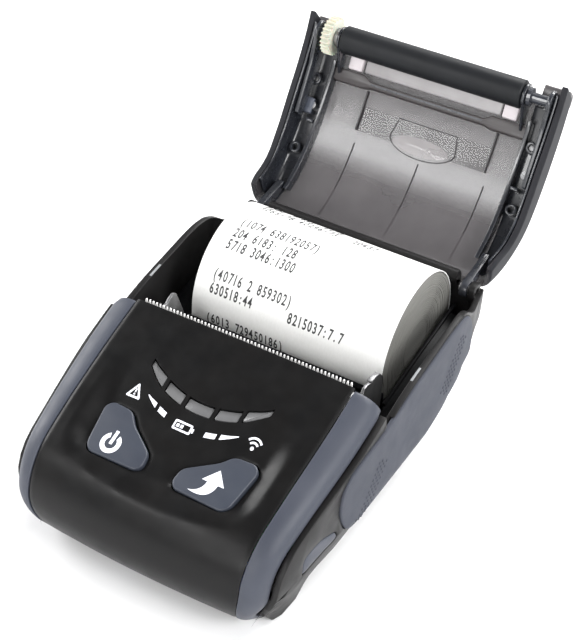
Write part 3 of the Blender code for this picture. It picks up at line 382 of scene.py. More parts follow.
def make_paper():
    """Thermal paper: smooth, slightly warm, with faint fibres."""
    finish = Finish("paper", 0.62, Sheen_Weight=0.12)
    fibres = finish.noise(0.5, 5.0, finish.stretched((1.0, 0.5, 0.5)))
    finish.link(finish.blend(finish.between(fibres, 0.0, 1.0), (0.86, 0.86, 0.845), (0.9, 0.9, 0.89)),
                finish.shader.inputs["Base Color"])
    finish.vary_roughness(0.56, 0.7, 2.0)
    finish.bump(fibres, 0.01, 0.3)
    finish.bump(finish.noise(11.0, 1.0), 0.15, 0.25)


def make_windings():
    """The wound end of the roll, drawn dark grey-green all over as painted shade, darker between turns."""
    finish = Finish("paper_windings", 0.85)
    centred = finish.node("ShaderNodeMapping")
    centred.inputs["Location"].default_value = (0.0, -ROLL_AT.y * MM, -ROLL_AT.z * MM)
    finish.link(finish.coords, centred.inputs["Vector"])
    rings = finish.node("ShaderNodeTexWave", wave_type="RINGS", rings_direction="X")
    rings.inputs["Scale"].default_value = 520.0
    rings.inputs["Distortion"].default_value = 1.2
    rings.inputs["Detail"].default_value = 2.0
    rings.inputs["Detail Scale"].default_value = 2.0
    finish.link(centred.outputs["Vector"], rings.inputs["Vector"])
    # The end faces' dark grey is painted shade: the white paper coloured as it looks in the shade, on both ends
    base = finish.blend(rings.outputs["Fac"], (0.155, 0.154, 0.142), (0.19, 0.188, 0.175))
    dust_on_painted_shade = finish.blend(finish.between(finish.noise(7.0), 0.0, 0.4), base, (0.165, 0.164, 0.152))
    finish.link(dust_on_painted_shade, finish.shader.inputs["Base Color"])
    finish.vary_roughness(0.78, 0.92)
    finish.bump(rings.outputs["Fac"], 0.015, 0.3)


def make_board():
    """Circuit board with traces under green lacquer."""
    finish = Finish("board", 0.32, Coat_Weight=0.3)
    traces = finish.node("ShaderNodeTexBrick", offset=0.35, squash=0.6)
    traces.inputs["Scale"].default_value = 260.0
    traces.inputs["Mortar Size"].default_value = 0.09
    traces.inputs["Color1"].default_value = (0.012, 0.09, 0.03, 1.0)
    traces.inputs["Color2"].default_value = (0.016, 0.12, 0.045, 1.0)
    traces.inputs["Mortar"].default_value = (0.03, 0.2, 0.08, 1.0)
    finish.link(finish.coords, traces.inputs["Vector"])
    finish.link(traces.outputs["Color"], finish.shader.inputs["Base Color"])
    finish.vary_roughness(0.25, 0.4)
    finish.bump(traces.outputs["Fac"], 0.03)


def make_ink(name, colour, roughness, patch):
    """Printed ink, slightly uneven."""
    finish = Finish(name, roughness)
    lighter = [min(1.0, c * 1.12 + 0.01) for c in colour]
    finish.colour(colour, lighter, patch)
    finish.vary_roughness(roughness - 0.06, roughness + 0.06, 1.0)
    finish.bump(finish.noise(0.2, 2.0), 0.006)


def make_floor_material():
    finish = Finish("studio_floor", 0.6, Specular_IOR_Level=0.2)
    finish.colour((0.9, 0.9, 0.905), (0.92, 0.92, 0.925), 60.0)
    finish.vary_roughness(0.55, 0.65, 40.0)


def make_materials():
    moulded("case_black", (0.0055, 0.0055, 0.0058), (0.0068, 0.0064, 0.0064), 0.34, worn=(0.02, 0.02, 0.021),
            Specular_IOR_Level=0.17)
    moulded("flank_black", (0.009, 0.0086, 0.0088), (0.012, 0.0115, 0.0118), 0.42, worn=(0.022, 0.021, 0.022),
            Specular_IOR_Level=0.2)
    moulded("inner_black", (0.0035, 0.0035, 0.004), (0.0045, 0.0045, 0.0055), 0.36, 0.3, 0.015,
            worn=(0.018, 0.019, 0.022), Specular_IOR_Level=0.1)
    moulded("channel_black", (0.016, 0.0175, 0.022), (0.023, 0.025, 0.031), 0.26, 0.5, 0.015,
            worn=(0.06, 0.065, 0.08), Coat_Weight=0.4)
    moulded("frame_brown", (0.036, 0.031, 0.032), (0.046, 0.04, 0.041), 0.36, 0.3, 0.01, worn=(0.1, 0.09, 0.09))
    moulded("rib_black", (0.018, 0.016, 0.019), (0.026, 0.023, 0.026), 0.4, 0.3, 0.01)
    moulded("slate_trim", (0.043, 0.048, 0.064), (0.05, 0.055, 0.072), 0.46, 0.18, 0.01,
            worn=(0.08, 0.088, 0.112), Specular_IOR_Level=0.3)
    moulded("slate_key", (0.034, 0.039, 0.053), (0.04, 0.046, 0.061), 0.42, 0.15, 0.008,
            worn=(0.13, 0.14, 0.17), Specular_IOR_Level=0.35)
    moulded("slate_rubber", (0.045, 0.049, 0.063), (0.051, 0.055, 0.071), 0.66, 0.22, 0.02,
            Specular_IOR_Level=0.25)
    moulded("window", (0.1, 0.1, 0.103), (0.14, 0.14, 0.143), 0.24, 2.0, 0.004)
    moulded("slot_insert", (0.2, 0.21, 0.22), (0.26, 0.27, 0.28), 0.35, 0.3, 0.01)
    moulded("end_block", (0.62, 0.56, 0.58), (0.72, 0.67, 0.69), 0.4, 0.3, 0.01)
    moulded("block_grey", (0.07, 0.066, 0.068), (0.09, 0.085, 0.088), 0.3, 0.5, 0.01)
    moulded("clip_blue", (0.075, 0.085, 0.11), (0.095, 0.105, 0.135), 0.35, 0.3, 0.01)
    moulded("platen_rubber", (0.006, 0.0068, 0.0082), (0.008, 0.009, 0.011), 0.5, 0.1, 0.02,
            Specular_IOR_Level=0.25)
    moulded("ivory", (0.5, 0.51, 0.42), (0.58, 0.585, 0.49), 0.42, 0.3, 0.01, Subsurface_Weight=0.15,
            Subsurface_Scale=0.002)
    moulded("ceramic", (0.6, 0.6, 0.56), (0.7, 0.7, 0.67), 0.3, 0.4, 0.01)
    moulded("battery", (0.02, 0.06, 0.2), (0.03, 0.085, 0.26), 0.35, 0.5, 0.01, Coat_Weight=0.3)
    metal("steel", (0.52, 0.52, 0.53), (0.68, 0.68, 0.69), 0.28)
    metal("zinc", (0.2, 0.2, 0.205), (0.3, 0.3, 0.305), 0.42)
    metal("motor_metal", (0.4, 0.4, 0.41), (0.52, 0.52, 0.53), 0.36)
    metal("aluminium", (0.6, 0.6, 0.61), (0.75, 0.75, 0.76), 0.33)
    # Near-white tooth colour: pale metal plus a painted highlight on each tooth tip
    moulded("tooth_metal_painted_highlight", (0.8, 0.79, 0.78), (0.92, 0.91, 0.9), 0.3, 0.3, 0.004, Metallic=0.25)
    make_lid_smoke()
    make_smoke("smoke_deep", (0.05, 0.046, 0.049), (0.062, 0.058, 0.061), 0.5, 0.25)
    make_smoke("smoke_light", (0.4, 0.38, 0.385), (0.5, 0.48, 0.485), 0.45, 0.14)
    # The lid lip's pale grey is a painted highlight: the reflection off the lid's curved front lip
    moulded("lip_painted_highlight", (0.34, 0.325, 0.33), (0.42, 0.405, 0.41), 0.32, 0.6, 0.006)
    make_ink("white_ink", (0.78, 0.79, 0.86), 0.5, 2.0)
    make_ink("print_ink", (0.035, 0.035, 0.037), 0.6, 0.5)
    make_paper()
    make_windings()
    make_board()
    make_floor_material()


# ---------------------------------------------------------------- shapes shared with the CAD

def smooth(value):
    """0 below 0, 1 above 1, and a smooth step between."""
    t = min(1.0, max(0.0, value))
    return t * t * (3 - 2 * t)


def smooth_line(points, steps):
    """A Catmull-Rom curve through points."""
    ends = [points[0], *points, points[-1]]
    made = []
    for a, b, c, d in zip(ends, ends[1:], ends[2:], ends[3:]):
        for i in range(steps):
            t = i / steps
            made.append(tuple(0.5 * (2 * q + (r - p) * t + (2 * p - 5 * q + 4 * r - s) * t ** 2
                                     + (3 * q - p - 3 * r + s) * t ** 3) for p, q, r, s in zip(a, b, c, d)))
    return [*made, points[-1]]


def along_line(line, share):
    """A point at a share of the way along a line of points."""
    steps = [math.dist(a, b) for a, b in zip(line, line[1:])]
    left = share * sum(steps)
    for (a, b), step in zip(zip(line, line[1:]), steps):
        if left <= step + 1e-9:
            return tuple(p + (q - p) * left / step for p, q in zip(a, b))
        left -= step
    return line[-1]


def height_on(line, y):
    """The height of a front-to-back line at y."""
    for (ya, za), (yb, zb) in zip(line, line[1:]):
        if ya <= y <= yb:
            return za + (zb - za) * (y - ya) / (yb - ya)
    return line[0][1] if y < line[0][0] else line[-1][1]


def arc(centre, radius, start, end, steps):
    """Points on an arc, with its angles in degrees."""
    angles = [math.radians(start + (end - start) * i / steps) for i in range(steps + 1)]
    return [(centre[0] + radius * math.cos(a), centre[1] + radius * math.sin(a)) for a in angles]


def circle(centre, radius, steps=32):
    return arc(centre, radius, 0, 360 - 360 / steps, steps - 1)


def plan_scale(y, z=99.0):
    """How much the case narrows towards its nose, its tail and the corners of its chin."""
    nose = min(1.0, max(0.0, (-14.0 - y) / 42.0))
    tail = min(1.0, max(0.0, (y - 30.0) / 28.0))
    chin = smooth((-38.0 - y) / 13.0) * smooth((17.0 - z) / 17.0)
    return 1 - 0.055 * nose ** 1.4 - 0.085 * tail ** 2 - 0.08 * chin


def side_scale(y, z):
    """How much the side walls draw in: low down, and a little more than the cover does at the nose."""
    top = LEAN_TOP + LEAN_RISE * max(0.0, y - LEAN_REAR_Y)
    lean = LEAN * min(1.0, max(0.0, (top - z) / LEAN_TOP)) ** LEAN_CURVE
    tuck = 0.08 * smooth((-18.0 - y) / 26.0) * smooth((15.0 - z) / 15.0)
    nose = smooth((-26.0 - y) / 16.0)
    return plan_scale(y, z) * (1 - 0.028 * smooth((-12.0 - y) / 30.0) - lean * (1 - nose) - tuck * nose)


PANEL_ANGLE = math.atan2(PANEL_TOP[1] - PANEL_FOOT[1], PANEL_TOP[0] - PANEL_FOOT[0])
PANEL_LENGTH = math.dist(PANEL_TOP, PANEL_FOOT)
NOSE_CENTRE = (PANEL_FOOT[0] + NOSE_RADIUS * math.sin(PANEL_ANGLE),
               PANEL_FOOT[1] - NOSE_RADIUS * math.cos(PANEL_ANGLE))
CHIN_CENTRE = (NOSE_CENTRE[0] - NOSE_RADIUS + CHIN_RADIUS, NOSE_CENTRE[1])
NOSE_LENGTH = NOSE_RADIUS * (math.pi / 2 - PANEL_ANGLE)
CHIN_LENGTH = CHIN_RADIUS * math.pi / 2
SEAM_LENGTH = PANEL_LENGTH + NOSE_LENGTH + SEAM_SHARE * CHIN_LENGTH


def front_line(length):
    """(y, z), outward normal and chin share at a length from the tear bar down the panel, nose and chin."""
    if length <= PANEL_LENGTH:
        share = length / PANEL_LENGTH
        point = [a + (b - a) * share for a, b in zip(PANEL_TOP, PANEL_FOOT)]
        return point, (-math.sin(PANEL_ANGLE), math.cos(PANEL_ANGLE)), 0.0
    if length <= PANEL_LENGTH + NOSE_LENGTH:
        angle = math.pi / 2 + PANEL_ANGLE + (length - PANEL_LENGTH) / NOSE_RADIUS
        normal = (math.cos(angle), math.sin(angle))
        return [c + NOSE_RADIUS * n for c, n in zip(NOSE_CENTRE, normal)], normal, 0.0
    turn = (length - PANEL_LENGTH - NOSE_LENGTH) / CHIN_RADIUS
    normal = (math.cos(math.pi + turn), math.sin(math.pi + turn))
    return [c + CHIN_RADIUS * n for c, n in zip(CHIN_CENTRE, normal)], normal, turn / (math.pi / 2)


def crown(x, length):
    """How far the cover falls away from its middle line at x."""
    nose = smooth((length - PANEL_LENGTH * 0.7) / NOSE_LENGTH)
    chin = front_line(length)[2]
    return (0.6 + 0.8 * nose) * (1 - smooth(chin)) * (x / COVER_HALF_WIDTH) ** 2


def trim_edge(length):
    return TRIM_TAIL_X + (TRIM_NOSE_X - TRIM_TAIL_X) * smooth(length / (PANEL_LENGTH + NOSE_LENGTH))


def trim_drop(length):
    return crown(COVER_HALF_WIDTH, length) + TRIM_DROP * (1 - 0.8 * smooth(front_line(length)[2]))


def on_front(x, length, depth):
    """A point of the front, depth inside its middle line, narrowed as the case is."""
    (y, z), (ny, nz), _ = front_line(length)
    y -= ny * depth
    z -= nz * depth
    return x * plan_scale(y, z), y, z


def dish(x, y):
    """Depth of the shallow dish around the keys, which fades out towards the lights."""
    side = smooth((DISH_HALF_WIDTH - abs(x)) / DISH_FADE)
    lip = smooth((y + 51.0 - 3.5 * (x / 26.0) ** 2) / 8.0)
    top = smooth((-17.0 - y) / 17.0)
    return DISH_DEPTH * side * lip * top


# ---------------------------------------------------------------- building blocks

def place(name, mesh, material, body, slot, replaced=(), angle=35, modifiers=()):
    """Puts a finished mesh in the scene, on the body it moves with."""
    obj = bpy.data.objects.new(name, mesh)
    bpy.context.scene.collection.objects.link(obj)
    mesh.materials.clear()
    mesh.materials.append(MATERIALS[material])
    for kind, settings in modifiers:
        made = obj.modifiers.new(kind.lower(), kind)
        for key, value in settings.items():
            setattr(made, key, value)
    settle(obj)
    obj.data.shade_smooth()
    obj.data.set_sharp_from_angle(angle=math.radians(angle))
    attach(obj, body)
    if replaced:
        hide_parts(*replaced)
    return obj


def settle(obj):
    """Applies the modifiers."""
    mesh = bpy.data.meshes.new_from_object(obj.evaluated_get(bpy.context.evaluated_depsgraph_get()))
    obj.modifiers.clear()
    obj.data = mesh
    return obj


def rounding(width, segments=3, angle=30):
    """A bevel for the edges sharper than an angle."""
    return ("BEVEL", {"width": width * MM, "segments": segments, "limit_method": "ANGLE",
                      "angle_limit": math.radians(angle), "use_clamp_overlap": False, "harden_normals": False})


def wall(thickness):
    """Gives a surface thickness, inwards."""
    return ("SOLIDIFY", {"thickness": thickness * MM, "offset": -1})


def to_mesh(bm, name="mesh"):
    mesh = bpy.data.meshes.new(name)
    bmesh.ops.recalc_face_normals(bm, faces=bm.faces)
    bm.to_mesh(mesh)
    bm.free()
    return mesh


def grid(rows, columns, point):
    """A grid bent into the surface point(u, v), u and v from 0 to 1."""
    bm = bmesh.new()
    bmesh.ops.create_grid(bm, x_segments=rows, y_segments=columns, size=0.5)
    for vert in bm.verts:
        vert.co = Vector(point(vert.co.x + 0.5, vert.co.y + 0.5)) * MM
    mesh = bpy.data.meshes.new("grid")
    bm.to_mesh(mesh)
    bm.free()
    return mesh


def rectangle(left, right, front, rear):
    return [(left, front), (right, front), (right, rear), (left, rear)]


def drawn_mesh(curve):
    """The mesh that a curve or a text draws."""
    drawn = bpy.data.objects.new("drawn", curve)
    bpy.context.scene.collection.objects.link(drawn)
    mesh = bpy.data.meshes.new_from_object(drawn.evaluated_get(bpy.context.evaluated_depsgraph_get()))
    bpy.data.objects.remove(drawn)
    return mesh


def cut(bm, at, direction, nearby=1e-7):
    """Cuts every face that a plane crosses."""
    whole = bm.verts[:] + bm.edges[:] + bm.faces[:]
    bmesh.ops.bisect_plane(bm, geom=whole, dist=nearby, plane_co=at, plane_no=direction)


def slice_up(bm, axis, size, nearby=1e-7):
    """Cuts a mesh into even slices about size millimetres deep along an axis."""
    low = min(v.co[axis] for v in bm.verts)
    high = max(v.co[axis] for v in bm.verts)
    steps = max(1, round((high - low) / (size * MM)))
    direction = Vector([float(k == axis) for k in range(3)])
    for i in range(1, steps):
        cut(bm, direction * (low + (high - low) * i / steps), direction, nearby)


def triangulate_large(bm):
    bmesh.ops.triangulate(bm, faces=[f for f in bm.faces if len(f.verts) > 4])


def bridge(bm, ring, after):
    """Joins two rings of as many vertices with faces."""
    for i in range(len(ring)):
        j = (i + 1) % len(ring)
        bm.faces.new((ring[i], ring[j], after[j], after[i]))


def prism(outlines, span, plane="YZ"):
    """A flat outline, and holes in it, given thickness: along X for YZ, along Z for XY."""
    curve = bpy.data.curves.new("outline", "CURVE")
    curve.dimensions = "2D"
    curve.fill_mode = "BOTH"
    curve.extrude = (span[1] - span[0]) / 2 * MM
    for outline in outlines:
        spline = curve.splines.new("POLY")
        spline.points.add(len(outline) - 1)
        spline.use_cyclic_u = True
        for point, (a, b) in zip(spline.points, outline):
            point.co = (a * MM, b * MM, 0, 1)
    mesh = drawn_mesh(curve)
    middle = (span[0] + span[1]) / 2 * MM
    turn = Matrix(((0, 0, 1, middle), (1, 0, 0, 0), (0, 1, 0, 0), (0, 0, 0, 1)))
    mesh.transform(turn if plane == "YZ" else Matrix.Translation((0, 0, middle)))
    bm = bmesh.new()
    bm.from_mesh(mesh)
    bmesh.ops.remove_doubles(bm, verts=bm.verts, dist=1e-7)
    bmesh.ops.dissolve_limit(bm, angle_limit=0.01, verts=bm.verts, edges=bm.edges)
    return to_mesh(bm)


def lathe(profile, centre, steps=72):
    """A profile of (x, radius) turned about a line along X at (y, z). The profile is closed."""
    bm = bmesh.new()
    rings = []
    for x, radius in profile:
        rings.append([bm.verts.new(Vector((x, *p)) * MM) for p in circle(centre, radius, steps)])
    for ring, after in zip(rings, [*rings[1:], rings[0]]):
        bridge(bm, ring, after)
    return to_mesh(bm)


def joined(meshes):
    """Several meshes as one."""
    bm = bmesh.new()
    for mesh in meshes:
        bm.from_mesh(mesh)
    return to_mesh(bm)


def rounded(outline, radius, steps=5):
    """An outline with its corners rounded."""
    made = []
    count = len(outline)
    for i, corner in enumerate(outline):
        before, after = outline[i - 1], outline[(i + 1) % count]
        reach = min(radius, math.dist(corner, before) * 0.48, math.dist(corner, after) * 0.48)
        start = [c + (b - c) * reach / math.dist(corner, before) for c, b in zip(corner, before)]
        end = [c + (a - c) * reach / math.dist(corner, after) for c, a in zip(corner, after)]
        for k in range(steps + 1):
            t = k / steps
            made.append(tuple((1 - t) ** 2 * s + 2 * t * (1 - t) * c + t * t * e
                              for s, c, e in zip(start, corner, end)))
    return made


def grown(outline, distance):
    """An outline moved outwards by distance, which is negative to shrink it."""
    area = sum(a[0] * b[1] - b[0] * a[1] for a, b in zip(outline, [*outline[1:], outline[0]]))
    side = 1 if area > 0 else -1
    made = []
    for i, point in enumerate(outline):
        along = (Vector(outline[(i + 1) % len(outline)]) - Vector(outline[i - 1])).normalized()
        made.append((point[0] + side * along.y * distance, point[1] - side * along.x * distance))
    return made


def on_panel(mesh):
    """Lays a mesh drawn in plan millimetres onto the slanted panel."""
    turn = Matrix.Rotation(PANEL_ANGLE, 4, "X")
    mesh.transform(Matrix.Translation(Vector((0, *PANEL_TOP)) * MM) @ turn)
    return mesh


def panel_outline(outline):
    return [(x, (y - PANEL_TOP[0]) / math.cos(PANEL_ANGLE)) for x, y in outline]


def panel_prism(outline, span):
    """A plate that lies on the panel, with its heights measured from the panel's middle line."""
    return on_panel(prism([panel_outline(outline)], span, "XY"))


def cad_shape(node):
    """A copy of a CAD node's mesh, with its flat faces in one piece each."""
    bm = bmesh.new()
    bm.from_mesh(frame["nodes"][node].data)
    bmesh.ops.remove_doubles(bm, verts=bm.verts, dist=2e-6)
    bmesh.ops.dissolve_limit(bm, angle_limit=math.radians(0.5), verts=bm.verts, edges=bm.edges)
    return to_mesh(bm)


def refine(node, material, slot, width, segments=2):
    """Stands for a CAD node with its own shape and rounded edges."""
    body = frame["nodes"][node]["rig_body"]
    return place(node + "_finished", cad_shape(node), material, body, slot, (node,),
                 modifiers=[rounding(width, segments)])


# ---------------------------------------------------------------- cover, keys and marks

def arc_rise(x):
    return LIGHT_ARC_RADIUS - math.sqrt(LIGHT_ARC_RADIUS ** 2 - x * x)


def light_outline(span, spare=0.0):
    """One window of the curved row of lights, as a plan outline. The outer windows narrow to a tip."""
    low, high = span[0] - spare, span[1] + spare
    steps = 10
    xs = [low + (high - low) * i / steps for i in range(steps + 1)]

    def reach(x):
        tip = smooth((abs(x) - LIGHT_SPANS[-1][0]) / (LIGHT_SPANS[-1][1] - LIGHT_SPANS[-1][0]))
        return LIGHT_HALF_HEIGHT + (LIGHT_TIP_HALF_HEIGHT - LIGHT_HALF_HEIGHT) * tip + spare

    upper = [(x, LIGHT_ARC_LOW_Y + arc_rise(x) + reach(x)) for x in xs]
    lower = [(x, LIGHT_ARC_LOW_Y + arc_rise(x) - reach(x)) for x in reversed(xs)]
    return upper + lower


def key_outline(side):
    return rounded([(side * x, y) for x, y in KEY_OUTLINE], 1.5, 6)


def distance_to(outline, x, y):
    """Distance from a point to a closed outline."""
    best = 1e9
    for (ax, ay), (bx, by) in zip(outline, [*outline[1:], outline[0]]):
        dx, dy = bx - ax, by - ay
        t = min(1.0, max(0.0, ((x - ax) * dx + (y - ay) * dy) / (dx * dx + dy * dy + 1e-9)))
        best = min(best, math.hypot(x - ax - t * dx, y - ay - t * dy))
    return best


def make_cover():
    """The black cover: panel, dish, nose and chin, with rounded openings for the keys and windows."""
    openings = [grown(key_outline(side), 0.35) for side in (-1, 1)]
    openings += [rounded(light_outline(span, 0.25), 0.4, 2) for span in LIGHT_SPANS]
    edges = [rounded([(side * x, y) for x, y in KEY_OUTLINE], 1.5, 2) for side in (-1, 1)]

    def point(u, v):
        x = COVER_HALF_WIDTH * (1 - 2 * u)
        length = SEAM_LENGTH * v
        y = front_line(length)[0][0]
        depth = crown(x, length)
        if length < PANEL_LENGTH + NOSE_LENGTH:
            depth += dish(x, y)
        if length < PANEL_LENGTH:
            edge = min(distance_to(outline, x, y) for outline in edges)
            depth += EDGE_FALL * (1 - smooth(edge / (EDGE_ROUNDING + 0.35)))
        side = smooth((abs(x) - COVER_HALF_WIDTH + 0.8) / 0.8)
        return on_front(x, length, depth + 0.25 * side)

    cutters = joined([panel_prism(outline, (-12.0, 4.0)) for outline in openings])
    tab = prism([rectangle(-7.0, -1.8, -60.0, -43.0)], (-2.0, 5.3), "XY")
    cutter = bpy.data.objects.new("cutters", joined([cutters, tab]))
    bpy.context.scene.collection.objects.link(cutter)
    cutting = ("BOOLEAN", {"operation": "DIFFERENCE", "solver": "EXACT", "object": cutter})
    cover = place("top_case_cover", grid(124, 160, point), "case_black", "case", "case_black", ("top_case",),
                  modifiers=[wall(COVER_WALL), cutting])
    bpy.data.objects.remove(cutter)
    return cover


def make_trim(name, side, node):
    """The slate strip along one edge of the cover, which wraps round the nose to the chin."""
    def point(u, v):
        length = TRIM_START + (SEAM_LENGTH - TRIM_START) * v
        _, y, z = on_front(0, length, trim_drop(length))
        wall = TRIM_WALL_X * side_scale(y, z) / plan_scale(y, z)
        tucked = smooth((15.0 - z) / 6.0)
        edge = trim_edge(length) * (1 - tucked) + min(trim_edge(length), wall) * tucked
        across = 1 - u if side > 0 else u
        inner = COVER_HALF_WIDTH + TRIM_GAP
        x = inner + (edge - inner) * math.sin(across * math.pi / 2) ** 0.9
        x = inner + (x - inner) * (0.93 + 0.07 * smooth((length - TRIM_START) / 2.5))
        fall = trim_drop(length) - crown(COVER_HALF_WIDTH, length)
        depth = crown(COVER_HALF_WIDTH, length) + fall * (1 - math.cos(across * math.pi / 2))
        end = 0.3 * (1 - smooth((length - TRIM_START) / 1.2))
        return on_front(side * x, length, depth + end)

    return place(name, grid(18, 120, point), "slate_trim", "case", "slate_trim", (node,),
                 modifiers=[wall(TRIM_WALL), rounding(0.1, 2, 50)])


def make_key(name, side, node, body):
    """A key with soft edges and a flat top."""
    shape = panel_prism(key_outline(side), KEY_SPAN)
    return place(name, shape, "slate_key", body, "slate_key", (node,), modifiers=[rounding(0.5, 4)])


def make_windows():
    """The five glossy windows, each with softened edges, and the light guide behind them."""
    depth = [0.25 + crown(sum(s) / 2, 20) + dish(sum(s) / 2, LIGHT_ARC_LOW_Y + arc_rise(sum(s) / 2))
             for s in LIGHT_SPANS]
    shapes = [panel_prism(rounded(light_outline(s), 0.35, 3), (-4.4, -d)) for s, d in zip(LIGHT_SPANS, depth)]
    shapes.append(panel_prism(light_outline((-17.4, 17.4)), (-4.9, -4.2)))
    return place("light_windows", joined(shapes), "window", "case", "smoke_light", ("light_guide",),
                 modifiers=[rounding(0.12, 2)])


def surface_finder(*objects):
    """A function that gives the topmost point and normal of some objects at a plan position."""
    trees = []
    for obj in objects:
        mesh = obj.data
        vertices = [v.co for v in mesh.vertices]
        trees.append(BVHTree.FromPolygons(vertices, [list(p.vertices) for p in mesh.polygons]))

    def find(x, y):
        hits = [tree.ray_cast(Vector((x * MM, y * MM, 0.2)), Vector((0, 0, -1))) for tree in trees]
        hits = [hit for hit in hits if hit[0] is not None]
        best = max(hits, key=lambda hit: hit[0].z)
        return best[0], best[1]

    return find


def make_mark(name, outlines, find, body):
    """A thin printed mark that lies on the surface below its outlines."""
    bm = bmesh.new()
    bm.from_mesh(prism([panel_outline(o) for o in outlines], (0.0, MARK_THICKNESS), "XY"))
    for axis in (0, 1):
        slice_up(bm, axis, MARK_SLICE)
    triangulate_large(bm)
    for vert in bm.verts:
        x, y = vert.co.x / MM, PANEL_TOP[0] + vert.co.y / MM * math.cos(PANEL_ANGLE)
        lift = MARK_LIFT * MM + vert.co.z
        point, normal = find(x, y)
        vert.co = point + normal * lift
    return place(name, to_mesh(bm), "white_ink", body, "slate_key")


def power_mark(centre):
    """A ring open at the top, with a bar through the gap."""
    x, y = centre
    open_ring = arc(centre, 2.65, 118, 422, 30) + arc(centre, 1.5, 412, 128, 24)
    bar = rectangle(x - 0.42, x + 0.42, y - 0.3, y + 3.3)
    return [open_ring, bar]


def bow(start, control, end, steps=8):
    """Points along a curve that bends towards a control point."""
    shares = [i / steps for i in range(steps + 1)]
    return [tuple((1 - t) ** 2 * a + 2 * t * (1 - t) * b + t * t * c for a, b, c in zip(start, control, end))
            for t in shares]


def feed_mark(centre):
    """An arrow that sweeps up from the lower left."""
    x, y = centre
    head = [(x + 2.3, y + 0.5), (x + 3.9, y + 0.5), (x + 0.8, y + 4.0), (x - 2.1, y + 0.5), (x - 0.6, y + 0.5)]
    tail = (x - 3.9, y - 3.0)
    outer = bow(tail, (x + 2.0, y - 4.0), head[0])
    inner = bow(head[-1], (x - 0.6, y - 2.3), tail)
    return [outer + head[1:4] + inner[:-1]]


def dash_mark(start, end, start_half, end_half):
    """A dash that follows the arc below the lights."""
    steps = 8
    points = []
    for i in range(steps + 1):
        x = start + (end - start) * i / steps
        y = LIGHT_ARC_LOW_Y - MARK_ARC_DROP + arc_rise(x)
        half = start_half + (end_half - start_half) * i / steps
        points.append((x, y, half))
    upper = [(x, y + half) for x, y, half in points]
    lower = [(x, y - half) for x, y, half in reversed(points)]
    return [upper + lower]


def warning_marks(centre):
    """A warning triangle with a bar and a dot in it."""
    x, y = centre
    outside = rounded([(x - 2.1, y - 1.5), (x + 2.1, y - 1.5), (x, y + 2.1)], 0.5, 3)
    inside = rounded([(x - 1.25, y - 1.0), (x + 1.25, y - 1.0), (x, y + 1.2)], 0.2, 2)
    stroke = [(x - 0.18, y - 0.2), (x + 0.18, y - 0.2), (x + 0.2, y + 0.65), (x - 0.2, y + 0.65)]
    return {"warning_ring": [outside, inside], "warning_stroke": [stroke],
            "warning_dot": [circle((x, y - 0.6), 0.22, 12)]}


def battery_marks(centre):
    """A battery with its terminal and two bars of charge."""
    x, y = centre
    outside = rounded(rectangle(x - 2.6, x + 2.4, y - 1.15, y + 1.15), 0.4, 3)
    inside = rounded(rectangle(x - 2.15, x + 1.95, y - 0.7, y + 0.7), 0.2, 2)
    marks = {"battery_ring": [outside, inside], "battery_tip": [rectangle(x + 2.55, x + 3.0, y - 0.5, y + 0.5)]}
    for i, left in enumerate((x - 1.8, x - 0.7)):
        marks["battery_bar_%d" % (i + 1)] = [rectangle(left, left + 0.8, y - 0.4, y + 0.4)]
    return marks


def signal_marks(centre):
    """A dot with two arcs over it."""
    x, y = centre
    marks = {"signal_dot": [circle((x, y - 1.2), 0.45, 16)]}
    for i, radius in enumerate((1.3, 2.3)):
        outside = arc((x, y - 1.2), radius + 0.24, 40, 140, 12)
        inside = arc((x, y - 1.2), radius - 0.24, 140, 40, 12)
        marks["signal_arc_%d" % (i + 1)] = [outside + inside]
    return marks


def make_marks(cover, power, feed):
    """The pale symbols on the keys and the generic signs round the lights."""
    on_cover = surface_finder(cover)
    make_mark("power_symbol", power_mark(POWER_SIGN_AT), surface_finder(power), "power_key")
    make_mark("feed_symbol", feed_mark(FEED_SIGN_AT), surface_finder(feed), "feed_key")
    marks = {"dash_left_outer": dash_mark(-13.6, -10.4, 0.12, 0.6),
             "dash_left_inner": dash_mark(-9.3, -6.9, 0.6, 0.6),
             "dash_right_inner": dash_mark(4.6, 7.4, 0.6, 0.6),
             "dash_right_outer": dash_mark(8.4, 12.6, 0.6, 0.12)}
    marks.update(warning_marks(WARNING_SIGN_AT))
    marks.update(battery_marks((BATTERY_SIGN_X, LIGHT_ARC_LOW_Y - MARK_ARC_DROP)))
    marks.update(signal_marks(SIGNAL_SIGN_AT))
    for name, outlines in marks.items():
        make_mark("mark_" + name, outlines, on_cover, "case")


# ---------------------------------------------------------------- case

def grip_outline():
    top = [(y, z - 0.7) for y, z in RIM[1:7]]
    points = [(-15.0, 34.2), (-6.0, 34.4), *top, (45.6, 35.0), (48.0, 29.0), (48.0, 22.0), (44.6, 15.4),
              (37.0, 11.2), (24.0, 9.2), (0.0, 8.8), (-12.0, 9.6), (-19.8, 13.3), (-24.0, 19.7),
              (-24.9, 26.4), (-22.4, 31.8)]
    return rounded(points, 4.0, 5)


def scaled_sides(mesh, stations):
    """Narrows a mesh as the side walls narrow, after cutting it at stations."""
    bm = bmesh.new()
    bm.from_mesh(mesh)
    cuts = [((0, y * MM, 0), (0, 1, 0)) for y in stations]
    cuts += [((0, 0, z * MM), (0, 0, 1)) for z in (4.0, 7.0, 10.0, 13.0, 16.0, 20.0, 24.0)]
    for at, normal in cuts:
        cut(bm, at, normal, 1e-6)
    triangulate_large(bm)
    for vert in bm.verts:
        vert.co.x *= side_scale(vert.co.y / MM, vert.co.z / MM)
    bm.to_mesh(mesh)
    bm.free()
    return mesh


